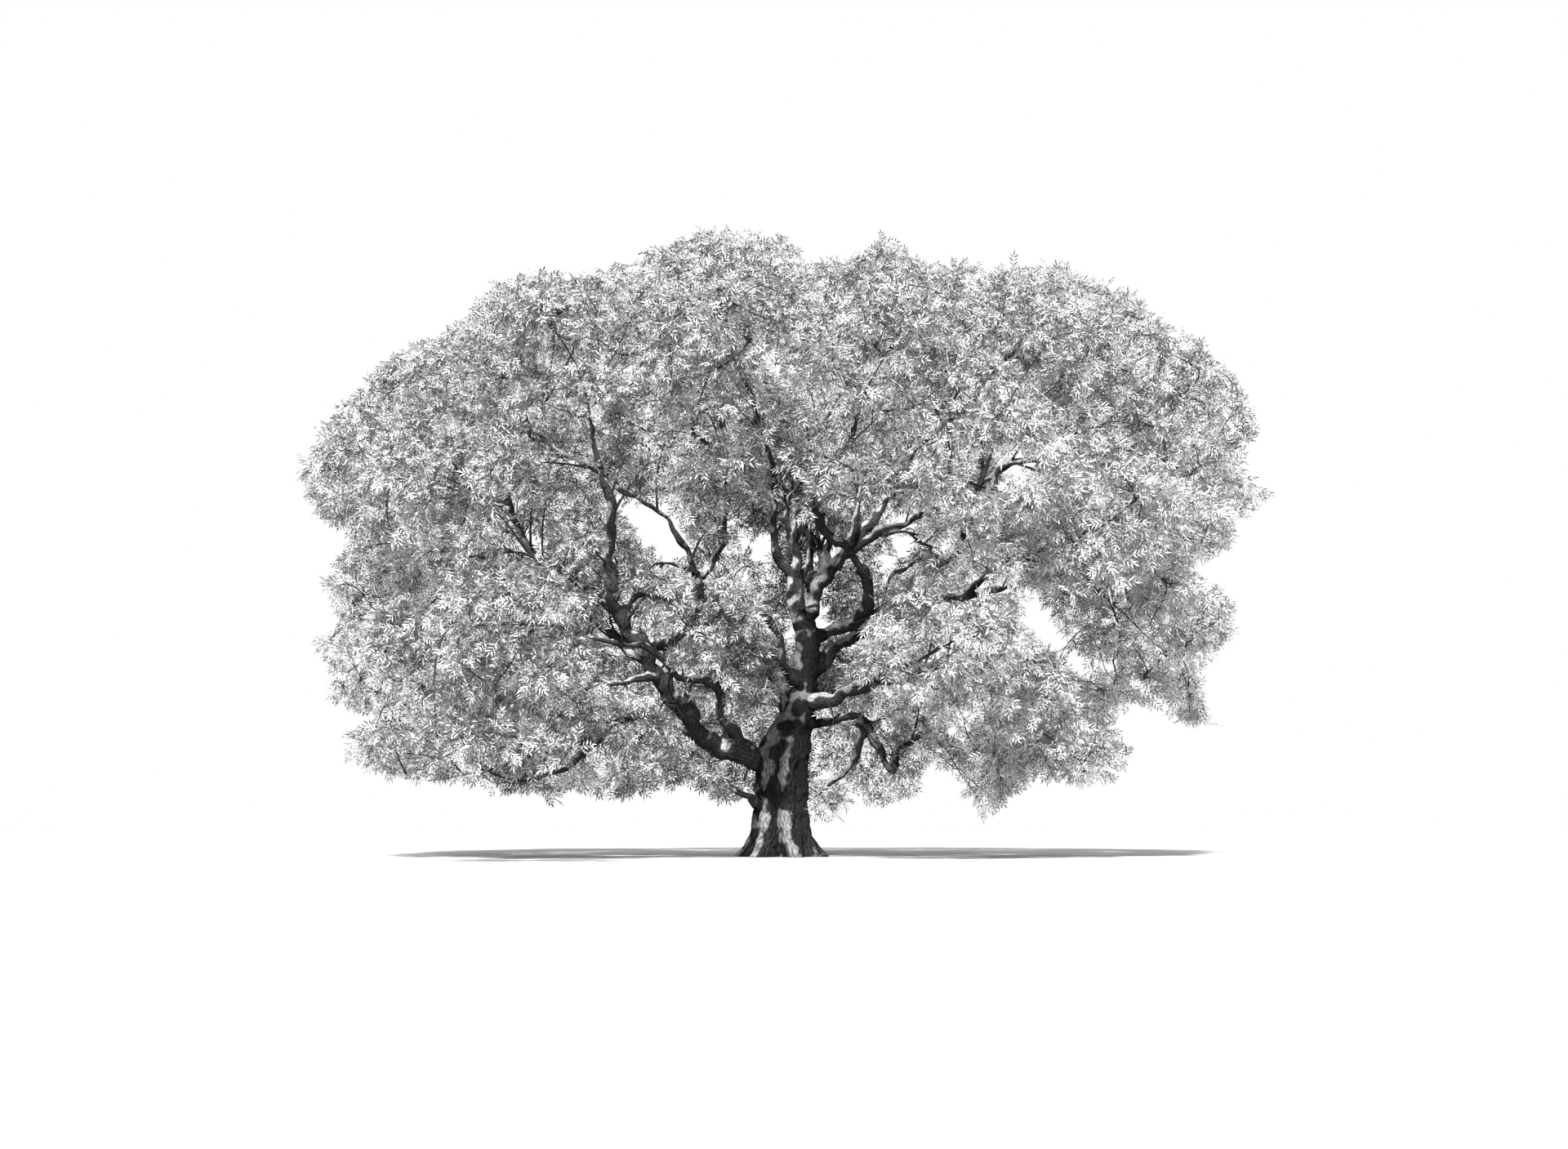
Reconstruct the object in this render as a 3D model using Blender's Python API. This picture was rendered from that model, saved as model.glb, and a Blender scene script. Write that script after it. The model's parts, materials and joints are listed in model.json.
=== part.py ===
"""An old ash tree grown in the open, in full leaf: short fluted trunk, crooked boughs, wide domed crown.

Metres, +Z up. The origin is the middle of the flat cut at ground level, -Y faces the viewer.
"""

import math
import random

import bmesh
import bpy
import numpy as np
from mathutils import Matrix, Vector
from mathutils.bvhtree import BVHTree

# The whole tree.
SEED = 41
FIT_GAP = 0.0003
UP = Vector((0, 0, 1))

# The trunk: height and radius of each ring of its taper, and how far its middle leans.
TRUNK_SIDES = 16
TRUNK_TAPER = (
    (0.0, 1.00), (0.22, 0.90), (0.55, 0.80), (1.17, 0.73), (2.27, 0.72), (3.1, 0.72),
    (3.7, 0.60), (4.3, 0.42), (4.9, 0.36), (5.8, 0.35), (6.35, 0.36), (6.7, 0.24),
)
TRUNK_LEAN = ((0.0, 0.0), (2.3, -0.02), (3.4, 0.16), (4.0, 0.50), (4.9, 0.66), (5.7, 0.73), (6.7, 0.73))
FLARE_DEPTH = 0.30
FLARE_HEIGHT = 0.55
FLUTE_DEPTH = 0.06

# The root buttresses, as waves round the trunk: how many, how strong and how far turned.
BUTTRESSES = ((6, 1.0, 0.6), (3, 0.4, 1.9))

# The boughs.
BOUGH_SIDES = 6
RING_SPACING = 1.2
CURVE_STEPS = 12
COLLAR_SWELL = 0.25
COLLAR_LENGTH = 0.5
WOBBLE = 0.035
ENTRY_DEPTH = 0.16
SHARED_TIP_START = 0.2
SHARED_TIP_STEP = 0.03
SAMPLE_STEP = 0.15
TRUNK_SAMPLE_STEP = 0.3

# The arch of a bough that shows no bends: shares of its length, and its rise there over the straight line.
ARCH = ((0.4, 0.10), (0.75, 0.06))

# The masses of foliage.
CROWN_HEART = (0, 0, 6)
MASS_GAP = 0.06
EDGE_SLACK = 0.0001
CORE_WIDE = 0.79
CORE_THICK = 0.60
CORE_TO_WALL = 0.97
CORE_ROUGHNESS = 0.12
SPROUTS = 8
INWARD_LIMIT = -0.5
BACKWARD_LIMIT = 0.85
TWIG_SIDES = 3
STEM_RISE = 0.06
STEM_TO_TIP = 0.9
TWIN_STEM_TO_TIP = 0.42
TWIN_STEM_STEP = 0.5
TIP_ZONE = 0.6
TWIG_RADIUS = 0.06
TWIG_TIP_RADIUS = 0.04
SPRAY_LENGTH = 2.1
SPRAY_WIDTH = 1.5
SPRAY_THICKNESS = 0.09
SPRAY_SHORTEST = 0.8
SPRAY_BROADEST = 0.48
SPRAY_TILT = 0.6
SPRAY_SINK = 0.06
SPRAY_TO_EDGE = 0.98
TWIG_SHARE = 0.62
SPRAY_TURNS = ((math.radians(28), 0.0), (math.radians(-42), 0.3))
LIMB_CLEARANCE = 0.05
GOLDEN_ANGLE = math.pi * (3 - math.sqrt(5))

# Each mass of foliage: the middle of its space and its half sizes.
MASSES = {
    "left_shoulder": ((-11.2, 0.3, 11.1), (3.2, 4.3, 2.8)),
    "left_upper": ((-9.8, 0.5, 13.4), (3.6, 4.3, 2.8)),
    "left_mid": ((-10.6, 0.0, 7.4), (3.4, 4.2, 2.4)),
    "left_low": ((-10.3, -0.8, 4.3), (3.4, 3.8, 2.7)),
    "bottom_left": ((-6.4, -2.6, 3.5), (3.2, 2.8, 2.1)),
    "bottom_left_inner": ((-2.9, -2.4, 3.0), (2.3, 2.2, 1.9)),
    "upper_left": ((-6.2, 0.5, 15.0), (3.8, 4.3, 2.6)),
    "top": ((-1.9, 0.3, 16.0), (4.5, 4.3, 2.7)),
    "top_right": ((3.2, 0.2, 15.8), (3.7, 4.3, 2.5)),
    "upper_right": ((7.2, 0.5, 15.0), (3.6, 4.3, 2.8)),
    "right_shoulder": ((10.4, 0.0, 13.9), (3.5, 4.3, 2.9)),
    "right_upper": ((11.3, 0.0, 11.6), (3.4, 4.3, 2.7)),
    "right": ((11.0, -0.3, 9.2), (3.6, 4.2, 2.3)),
    "right_low": ((10.5, -0.8, 6.0), (2.9, 4.0, 2.9)),
    "bottom_right": ((6.5, -2.2, 3.6), (3.6, 3.0, 2.7)),
    "low_right_inner": ((2.7, -1.0, 3.1), (2.1, 2.2, 2.1)),
    "front_left": ((-8.0, -5.6, 9.0), (3.4, 3.2, 2.5)),
    "front_left_low": ((-6.4, -6.4, 5.6), (3.5, 3.2, 2.4)),
    "front_left_upper": ((-5.6, -5.2, 12.6), (3.6, 3.4, 2.7)),
    "front_top": ((-1.2, -5.8, 12.9), (3.3, 3.4, 2.6)),
    "front_top_right": ((2.6, -6.0, 12.3), (3.2, 3.4, 2.6)),
    "front_right_upper": ((6.5, -5.2, 12.4), (3.4, 3.4, 2.6)),
    "front_right": ((4.9, -7.5, 9.5), (2.9, 3.0, 2.2)),
    "front_right_side": ((8.0, -5.6, 8.7), (3.2, 3.2, 2.3)),
    "front_right_low": ((4.1, -6.2, 5.4), (3.1, 3.0, 2.1)),
    "front_left_inner": ((-1.9, -4.6, 6.0), (2.1, 2.4, 2.1)),
    "back_left": ((-8.6, 6.3, 10.4), (3.7, 4.2, 3.2)),
    "back_left_low": ((-7.6, 6.6, 5.5), (4.1, 4.0, 2.9)),
    "back_upper_left": ((-2.6, 6.8, 13.8), (4.5, 4.1, 3.1)),
    "back_upper_right": ((4.2, 6.8, 13.3), (4.5, 4.1, 3.1)),
    "back_right": ((8.9, 6.2, 9.8), (4.1, 4.2, 2.6)),
    "back_right_low": ((6.9, 6.6, 4.8), (4.1, 4.0, 2.3)),
    "back_low": ((0.0, 8.7, 5.2), (4.1, 3.5, 2.7)),
}

# Each bough: what it grows from, where on that (a height on the trunk, else a share of the length),
# its radius at base and tip, the masses that its tip carries, and the bends that the eye sees.
BOUGHS = {
    "left": ("trunk", 2.7, 0.37, 0.10, ("front_left_upper",), (
        (-1.45, -0.6, 2.96), (-2.15, -1.0, 3.25), (-3.21, -2.0, 4.53), (-3.75, -2.5, 5.6),
        (-4.53, -3.3, 6.95), (-4.5, -3.8, 8.03), (-4.65, -4.3, 9.87))),
    "left_inner": ("left", 0.10, 0.17, 0.09, ("front_left_low",), (
        (-1.66, -1.3, 3.9), (-1.8, -1.8, 4.55), (-2.85, -2.9, 4.85), (-3.8, -3.9, 5.6))),
    "left_crown": ("left", 0.40, 0.18, 0.11, ("top",), (
        (-2.9, -1.8, 6.02), (-2.23, -1.2, 6.99), (-2.13, -1.0, 7.8), (-1.65, -0.4, 8.9),
        (-1.61, -0.2, 9.92))),
    "left_arch": ("left_crown", 0.29, 0.13, 0.10, ("upper_left", "left_upper"), (
        (-2.77, -1.0, 8.89), (-3.4, -1.0, 9.6), (-4.5, -1.1, 10.4))),
    "left_reach": ("left", 0.24, 0.15, 0.07, ("left_low",), (
        (-4.1, -2.3, 3.9), (-5.26, -2.7, 3.0), (-6.1, -2.8, 2.25), (-7.6, -2.6, 2.1))),
    "left_side": ("left", 0.47, 0.16, 0.10, ("left_shoulder", "left_mid"), ((-6.2, -2.0, 7.3),)),
    "front_left": ("left", 0.58, 0.13, 0.09, ("front_left",), ()),
    "low_left": ("trunk", 1.25, 0.19, 0.09, ("bottom_left_inner",), (
        (-1.16, -1.0, 1.75), (-1.65, -1.35, 2.2))),
    "bottom_left": ("left_reach", 0.24, 0.11, 0.07, ("bottom_left",), ()),
    "centre_left": ("trunk", 6.3, 0.25, 0.11, ("front_top",), (
        (0.45, -0.2, 7.17), (-0.10, -0.6, 8.6), (-0.28, -0.8, 9.6), (-0.12, -1.0, 10.4),
        (-0.4, -2.0, 11.4))),
    "centre": ("centre_left", 0.12, 0.15, 0.10, ("top_right",), (
        (0.45, -0.5, 8.17), (0.27, -0.8, 9.1), (0.4, -1.0, 10.1), (0.9, -0.7, 11.9))),
    "right_up": ("trunk", 6.3, 0.25, 0.12, ("upper_right",), (
        (1.1, 0.4, 7.81), (1.85, 0.6, 8.71), (3.03, 0.6, 10.23), (3.8, 0.5, 11.6))),
    "back_left_top": ("right_up", 0.10, 0.14, 0.10, ("back_upper_left",), (
        (0.78, 0.9, 8.3), (0.72, 1.3, 9.4), (0.0, 2.4, 10.9))),
    "back_right_top": ("right_up", 0.20, 0.14, 0.10, ("back_upper_right",), (
        (1.35, 1.2, 9.2), (1.7, 2.1, 10.4))),
    "right_shoulder": ("right_up", 0.36, 0.15, 0.11, ("right_shoulder", "right_upper"), (
        (3.6, 0.4, 9.75), (5.2, 0.2, 10.4), (6.7, 0.0, 11.35))),
    "right": ("trunk", 6.1, 0.20, 0.11, ("right", "right_low"), (
        (1.6, 0.3, 6.55), (2.8, 0.5, 6.95), (4.2, 0.5, 7.3), (5.6, 0.4, 7.65), (7.2, 0.0, 7.75))),
    "front_rising": ("right", 0.20, 0.19, 0.10, ("front_top_right",), (
        (2.5, -0.6, 7.55), (2.35, -0.9, 8.1), (1.9, -1.1, 8.6), (1.3, -1.3, 9.1), (1.05, -2.0, 9.9))),
    "front_right_top": ("right", 0.45, 0.14, 0.10, ("front_right_upper", "front_right"), (
        (4.9, -1.6, 8.6),)),
    "front_right_side": ("right", 0.62, 0.12, 0.09, ("front_right_side",), ()),
    "right_low": ("trunk", 3.85, 0.26, 0.11, ("bottom_right",), (
        (1.25, -0.6, 4.38), (1.88, -1.0, 4.65), (3.24, -1.6, 4.95), (4.4, -1.9, 5.4))),
    "front_right_low": ("right_low", 0.50, 0.13, 0.09, ("front_right_low",), ()),
    "drooping": ("trunk", 3.6, 0.18, 0.09, ("low_right_inner",), (
        (1.27, 0.3, 3.95), (1.92, 0.3, 3.98), (2.4, 0.1, 3.75))),
    "front_left_inner": ("trunk", 4.6, 0.12, 0.08, ("front_left_inner",), ()),
    "back_left": ("trunk", 4.3, 0.24, 0.12, ("back_left", "back_left_low"), ()),
    "back_right": ("trunk", 5.2, 0.22, 0.12, ("back_right", "back_right_low"), ()),
    "back_low": ("trunk", 3.3, 0.17, 0.10, ("back_low",), ()),
}


def clear_scene():
    for obj in list(bpy.data.objects):
        bpy.data.objects.remove(obj)


def make_material(name, colour, roughness):
    material = bpy.data.materials.new(name)
    material.use_nodes = True
    shader = material.node_tree.nodes["Principled BSDF"]
    shader.inputs["Base Color"].default_value = (*colour, 1)
    shader.inputs["Roughness"].default_value = roughness
    shader.inputs["Metallic"].default_value = 0
    return material


# Sweeping a limb: rings along a route, closed at both ends.


def frames_along(points):
    """A turn-free pair of cross axes at each point of a route."""
    tangents = []
    for k in range(len(points)):
        ahead = points[min(k + 1, len(points) - 1)] - points[max(k - 1, 0)]
        tangents.append(ahead.normalized())
    side = tangents[0].orthogonal().normalized()
    frames = []
    for tangent in tangents:
        side = (side - side.dot(tangent) * tangent).normalized()
        frames.append((tangent, side, tangent.cross(side)))
    return frames


def loft(rings):
    """A closed mesh through rings of equal count, with flat ends."""
    shape = bmesh.new()
    loops = [[shape.verts.new(point) for point in ring] for ring in rings]
    count = len(rings[0])
    for low, high in zip(loops, loops[1:]):
        for k in range(count):
            m = (k + 1) % count
            shape.faces.new((low[k], low[m], high[m], high[k]))
    shape.faces.new(loops[0][::-1])
    shape.faces.new(loops[-1])
    bmesh.ops.recalc_face_normals(shape, faces=shape.faces)
    return shape


def tube(points, radii, sides):
    rings = []
    for point, radius, (_, side, across) in zip(points, radii, frames_along(points)):
        ring = []
        for k in range(sides):
            angle = 2 * math.pi * k / sides
            ring.append(point + radius * (math.cos(angle) * side + math.sin(angle) * across))
        rings.append(ring)
    return loft(rings)


def add_object(name, shape, material, smooth=True):
    """A bmesh becomes a named object and is freed."""
    bmesh.ops.triangulate(shape, faces=shape.faces)
    mesh = bpy.data.meshes.new(name)
    shape.to_mesh(mesh)
    shape.free()
    mesh.materials.append(material)
    if smooth:
        mesh.shade_smooth()
        mesh.set_sharp_from_angle(angle=math.radians(40))
    obj = bpy.data.objects.new(name, mesh)
    bpy.context.scene.collection.objects.link(obj)
    return obj


def curve_through(points, spacing):
    """Points at even steps of about spacing along a Catmull-Rom curve through the given ones."""
    fine = []
    padded = [2 * points[0] - points[1], *points, 2 * points[-1] - points[-2]]
    for a, b, c, d in zip(padded, padded[1:], padded[2:], padded[3:]):
        for k in range(CURVE_STEPS):
            t = k / CURVE_STEPS
            fine.append(0.5 * (2 * b + (c - a) * t + (2 * a - 5 * b + 4 * c - d) * t**2
                               + (3 * b - a - 3 * c + d) * t**3))
    fine.append(points[-1].copy())
    travelled = [0.0]
    for a, b in zip(fine, fine[1:]):
        travelled.append(travelled[-1] + (b - a).length)
    count = max(3, round(travelled[-1] / spacing))
    even = []
    for k in range(count + 1):
        goal = travelled[-1] * k / count
        at = int(np.clip(np.searchsorted(travelled, goal) - 1, 0, len(fine) - 2))
        share = (goal - travelled[at]) / max(travelled[at + 1] - travelled[at], 1e-9)
        even.append(fine[at].lerp(fine[at + 1], share))
    return even


# The trunk.


def trunk_ring(height, radius, grow=0.0):
    """One ring: root buttresses near the ground that fade into shallow flutes."""
    lean = float(np.interp(height, *zip(*TRUNK_LEAN)))
    flare = FLARE_DEPTH * math.exp(-height / FLARE_HEIGHT)
    flute = FLUTE_DEPTH * max(0.0, 1 - height / TRUNK_TAPER[-1][0])
    ring = []
    for k in range(TRUNK_SIDES):
        angle = 2 * math.pi * k / TRUNK_SIDES
        lobes = sum(strength * math.cos(count * angle + turn) for count, strength, turn in BUTTRESSES)
        reach = radius * (1 + (flare + flute) * lobes) + grow
        ring.append(Vector((lean + reach * math.cos(angle), reach * math.sin(angle), height)))
    return ring


def trunk_shape(grow=0.0):
    """grow makes the copy that cuts the boughs, a hair larger all round."""
    rings = [trunk_ring(height, radius, grow) for height, radius in TRUNK_TAPER]
    if grow:
        rings[-1] = [point + Vector((0, 0, grow)) for point in rings[-1]]
    return loft(rings)


def trunk_middle(height):
    return Vector((float(np.interp(height, *zip(*TRUNK_LEAN))), 0, height))


# The spaces that the masses of foliage keep to.


class Space:
    """An egg-shaped space, parted from its neighbours by flat walls."""

    def __init__(self, middle, half):
        self.middle, self.half, self.walls = Vector(middle), Vector(half), {}

    def support(self, way):
        return math.sqrt(sum((h * w) ** 2 for h, w in zip(self.half, way)))

    def part_from(self, name, other):
        between = other.middle - self.middle
        way = between.normalized()
        share = self.support(way) / (self.support(way) + other.support(way))
        self.walls[name] = (way, way.dot(self.middle) + between.length * share - MASS_GAP / 2)

    def holds(self, point):
        scaled = [(p - m) / h for p, m, h in zip(point, self.middle, self.half)]
        if sum(s * s for s in scaled) > 1 + EDGE_SLACK:
            return False
        return all(way.dot(point) <= limit for way, limit in self.walls.values())

    def shell_reach(self, start, way):
        """How far a point inside can go along way before it leaves the egg."""
        offset = Vector([(s - m) / h for s, m, h in zip(start, self.middle, self.half)])
        run = Vector([w / h for w, h in zip(way, self.half)])
        a, b, c = run.dot(run), offset.dot(run), offset.dot(offset) - 1
        return max((-b + math.sqrt(max(b * b - a * c, 0.0))) / a, 0.0)

    def wall_reach(self, start, way):
        """How far it can go before it meets a wall."""
        rooms = [(limit - normal.dot(start)) / normal.dot(way)
                 for normal, limit in self.walls.values() if normal.dot(way) > 1e-9]
        return max(min(rooms, default=math.inf), 0.0)

    def reach(self, start, way):
        return min(self.shell_reach(start, way), self.wall_reach(start, way))


def make_spaces():
    spaces = {name: Space(middle, half) for name, (middle, half) in MASSES.items()}
    for name, space in spaces.items():
        for other_name, other in spaces.items():
            if other_name != name:
                space.part_from(other_name, other)
    return spaces


# The boughs.


def wobbled(points, chance):
    """The crooked growth of an old bough: its middle points shifted a little to the sides."""
    length = sum((b - a).length for a, b in zip(points, points[1:]))
    moved = [points[0]]
    for point in points[1:-1]:
        shift = Vector([chance.uniform(-1, 1) for _ in range(3)]) * WOBBLE * math.sqrt(length)
        moved.append(point + shift)
    return [*moved, points[-1]]


def bough_route(base, bends, spaces, masses, chance):
    """From inside what it grows on, through its bends, to where it enters the masses that it carries."""
    bends = [Vector(bend) for bend in bends]
    last = bends[-1] if bends else base
    middle = sum((spaces[name].middle for name in masses), Vector()) / len(masses)
    if len(masses) == 1:
        way = (last - middle).normalized()
        tip = middle + way * spaces[masses[0]].reach(middle, way) * (1 - ENTRY_DEPTH)
    else:
        tip = last.lerp(middle, SHARED_TIP_START)
        while not any(spaces[name].holds(tip) for name in masses):
            tip = tip.lerp(middle, SHARED_TIP_STEP)
        wall_way, limit = spaces[masses[0]].walls[masses[1]]
        tip += wall_way * (limit + MASS_GAP / 2 - wall_way.dot(tip))
    if not bends:
        bends = [base.lerp(tip, share) + UP * rise * (tip - base).length for share, rise in ARCH]
    return curve_through(wobbled([base, *bends, tip], chance), RING_SPACING)


def bough_radii(points, base_radius, tip_radius):
    """A straight taper with a swollen collar where the bough leaves its parent."""
    travelled, radii = 0.0, []
    length = sum((b - a).length for a, b in zip(points, points[1:]))
    for k, point in enumerate(points):
        if k:
            travelled += (point - points[k - 1]).length
        radius = base_radius + (tip_radius - base_radius) * travelled / length
        swell = COLLAR_SWELL * math.exp(-travelled / COLLAR_LENGTH)
        radii.append(radius * (1 + swell))
    return radii


def limb_cutter(points, radii):
    """A copy of a limb that is a hair thicker, and half a hair longer at its tip."""
    foot = points[0] - (points[1] - points[0]).normalized() * FIT_GAP
    tip = points[-1] + (points[-1] - points[-2]).normalized() * FIT_GAP / 2
    return tube([foot, *points[1:-1], tip], [radius + FIT_GAP for radius in radii], BOUGH_SIDES)


def cut_clear(obj, limbs, material, solver="EXACT"):
    """Cuts copies of the trunk and of the limbs that it touches, a hair larger, out of an object."""
    own = bmesh.new()
    own.from_mesh(obj.data)
    tree = BVHTree.FromBMesh(own)
    own.free()
    shapes = [trunk_shape(FIT_GAP)]
    shapes += [limb_cutter(points, radii) for points, radii in limbs]
    cutters = []
    for shape in shapes:
        if not tree.overlap(BVHTree.FromBMesh(shape)):
            shape.free()
            continue
        cutter = add_object("cutter", shape, material)
        cutter.hide_render = True
        cutter.display_type = "WIRE"
        cut = obj.modifiers.new("clear", "BOOLEAN")
        cut.operation = "DIFFERENCE"
        cut.object = cutter
        cut.solver = solver
        cutters.append(cutter)
    bake_modifiers(obj)
    for cutter in cutters:
        bpy.data.objects.remove(cutter)


def bake_modifiers(obj):
    """The object's evaluated mesh becomes its own, as one closed body."""
    graph = bpy.context.evaluated_depsgraph_get()
    mesh = bpy.data.meshes.new_from_object(obj.evaluated_get(graph))
    obj.modifiers.clear()
    old, obj.data = obj.data, mesh
    bpy.data.meshes.remove(old)
    keep_main_body(mesh)


def keep_main_body(mesh):
    """Drops loose scraps and the skins of sealed hollows."""
    shape = bmesh.new()
    shape.from_mesh(mesh)
    bmesh.ops.remove_doubles(shape, verts=shape.verts, dist=1e-6)
    bmesh.ops.triangulate(shape, faces=shape.faces)
    left, bodies = set(shape.faces), []
    while left:
        body, waiting = set(), [left.pop()]
        while waiting:
            face = waiting.pop()
            body.add(face)
            for neighbour in {f for e in face.edges for f in e.link_faces} & left:
                left.discard(neighbour)
                waiting.append(neighbour)
        volume = sum(f.verts[0].co.dot(f.verts[1].co.cross(f.verts[2].co)) for f in body)
        bodies.append((volume, body))
    bodies.sort(key=lambda item: item[0])
    scraps = [face for _, body in bodies[:-1] for face in body]
    bmesh.ops.delete(shape, geom=scraps, context="FACES")
    loose = [vert for vert in shape.verts if not vert.link_faces]
    bmesh.ops.delete(shape, geom=loose, context="VERTS")
    shape.to_mesh(mesh)
    shape.free()


def make_boughs(spaces, bark):
    """Each bough is cut clear of every limb made before it. Returns the routes and radii by name."""
    limbs = {}
    for name, (parent, at, base_radius, tip_radius, masses, bends) in BOUGHS.items():
        chance = random.Random(f"{SEED} bough {name}")
        if parent == "trunk":
            base = trunk_middle(at)
        else:
            parent_route = limbs[parent][0]
            place = at * (len(parent_route) - 1)
            base = parent_route[int(place)].lerp(parent_route[int(place) + 1], place % 1)
        route = bough_route(base, bends, spaces, masses, chance)
        radii = bough_radii(route, base_radius, tip_radius)
        bough = add_object(f"bough_{name}", tube(route, radii, BOUGH_SIDES), bark)
        cut_clear(bough, limbs.values(), bark)
        limbs[name] = (route, radii)
    return limbs


def samples_along(points, radii):
    """Points and radii at short steps along a limb."""
    found = []
    for (a, b), (ra, rb) in zip(zip(points, points[1:]), zip(radii, radii[1:])):
        count = max(1, round((b - a).length / SAMPLE_STEP))
        for k in range(count):
            found.append((a.lerp(b, k / count), ra + (rb - ra) * k / count))
    found.append((points[-1], radii[-1]))
    return found


# The masses of foliage.


def even_way(index, count, turn):
    """One of count directions spread evenly over a ball."""
    height = 1 - 2 * (index + 0.5) / count
    around = math.sqrt(1 - height * height)
    angle = GOLDEN_ANGLE * index + turn
    return Vector((around * math.cos(angle), around * math.sin(angle), height))


def spray_shape(root, way, length, facing, roll):
    """A thin pointed blade for a spray of leaves: eight faces, its flat side turned to facing."""
    way = way.normalized()
    if abs(way.dot(facing)) > 0.95:
        facing = way.orthogonal()
    side = Matrix.Rotation(roll, 3, way) @ way.cross(facing).normalized()
    face = way.cross(side)
    broad = root + way * length * SPRAY_BROADEST
    width = SPRAY_WIDTH * length / SPRAY_LENGTH
    corners = [
        root, broad + side * width / 2, root + way * length, broad - side * width / 2,
        broad + face * SPRAY_THICKNESS / 2, broad - face * SPRAY_THICKNESS / 2,
    ]
    shape = bmesh.new()
    verts = [shape.verts.new(corner) for corner in corners]
    for k in range(4):
        m = (k + 1) % 4
        shape.faces.new((verts[k], verts[m], verts[4]))
        shape.faces.new((verts[m], verts[k], verts[5]))
    bmesh.ops.recalc_face_normals(shape, faces=shape.faces)
    return shape


def outward(space):
    return (space.middle - Vector(CROWN_HEART)).normalized()


def core_shape(space, chance):
    """The dense inside of a mass: a rough lens that lies along the crown's shell, well within its space."""
    shape = bmesh.new()
    bmesh.ops.create_icosphere(shape, subdivisions=2, radius=1)
    turn = Matrix.Rotation(chance.uniform(0, 2 * math.pi), 3, UP)
    out = outward(space)
    for vert in shape.verts:
        way = (turn @ vert.co).normalized()
        through = way.dot(out)
        share = 1 / math.sqrt((through / CORE_THICK) ** 2 + (1 - through**2) / CORE_WIDE**2)
        share *= 1 - chance.uniform(0, 2) * CORE_ROUGHNESS
        shell = space.shell_reach(space.middle, way) * share
        vert.co = space.middle + way * min(shell, space.wall_reach(space.middle, way) * CORE_TO_WALL)
    return shape


def fits(shape, space, limb_samples):
    """True where a twig or spray keeps to its space and clear of every limb."""
    if not all(space.holds(vert.co) for vert in shape.verts):
        return False
    tree = BVHTree.FromBMesh(shape)
    for point, radius in limb_samples:
        if tree.find_nearest(point, radius + LIMB_CLEARANCE)[0] is not None:
            return False
    return True


def grow_mass(name, space, tip, heading, stem_radius, side_step, limb_samples, leaf_material):
    """Twigs that branch from one stem, with sprays fused on, round a smaller core.

    A body of so many crossing blades is only joined and cut whole by the MANIFOLD solver.
    """
    chance = random.Random(f"{SEED} mass {name}")
    gathered = bpy.data.collections.new(name)
    bpy.context.scene.collection.children.link(gathered)
    room = max(space.half) + LIMB_CLEARANCE
    near = [(p, r) for p, r in limb_samples if (p - space.middle).length < room + r]

    def gather(shape):
        obj = add_object("piece", shape, leaf_material, smooth=False)
        bpy.context.scene.collection.objects.unlink(obj)
        gathered.objects.link(obj)

    root = tip + heading * FIT_GAP + side_step
    stem_points = [root, root + heading * STEM_RISE, space.middle]
    stem = tube(stem_points, [stem_radius, stem_radius, TWIG_RADIUS], TWIG_SIDES)
    base = add_object(f"foliage_{name}", stem, leaf_material, smooth=False)
    gather(core_shape(space, chance))
    turn = chance.uniform(0, 2 * math.pi)
    out = outward(space)
    back = (tip - space.middle).normalized()
    placed = []
    for index in range(SPROUTS):
        way = even_way(index, SPROUTS, turn)
        if way.dot(back) > BACKWARD_LIMIT or way.dot(out) < INWARD_LIMIT:
            continue
        reach = space.reach(space.middle, way)
        end = space.middle + way * reach * TWIG_SHARE
        twig = tube([space.middle, end], [TWIG_RADIUS, TWIG_TIP_RADIUS], TWIG_SIDES)
        if not fits(twig, space, near):
            twig.free()
            continue
        gather(twig)
        roll = chance.uniform(0, 2 * math.pi)
        across = Matrix.Rotation(roll, 3, way) @ way.orthogonal().normalized()
        for turn_by, step_back in SPRAY_TURNS:
            spray_way = Matrix.Rotation(turn_by, 3, across) @ way
            spray_root = end - way * (SPRAY_SINK + step_back)
            size = min(SPRAY_LENGTH, space.reach(spray_root, spray_way) * SPRAY_TO_EDGE)
            if size < SPRAY_SHORTEST:
                continue
            spray = spray_shape(spray_root, spray_way, size, out, chance.uniform(-SPRAY_TILT, SPRAY_TILT))
            tree = BVHTree.FromBMesh(spray)
            if fits(spray, space, near) and not any(tree.overlap(other) for other in placed):
                placed.append(tree)
                gather(spray)
            else:
                spray.free()
    fuse = base.modifiers.new("fuse", "BOOLEAN")
    fuse.operation = "UNION"
    fuse.operand_type = "COLLECTION"
    fuse.collection = gathered
    fuse.solver = "MANIFOLD"
    bake_modifiers(base)
    for obj in list(gathered.objects):
        bpy.data.objects.remove(obj)
    bpy.data.collections.remove(gathered)
    return base


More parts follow.
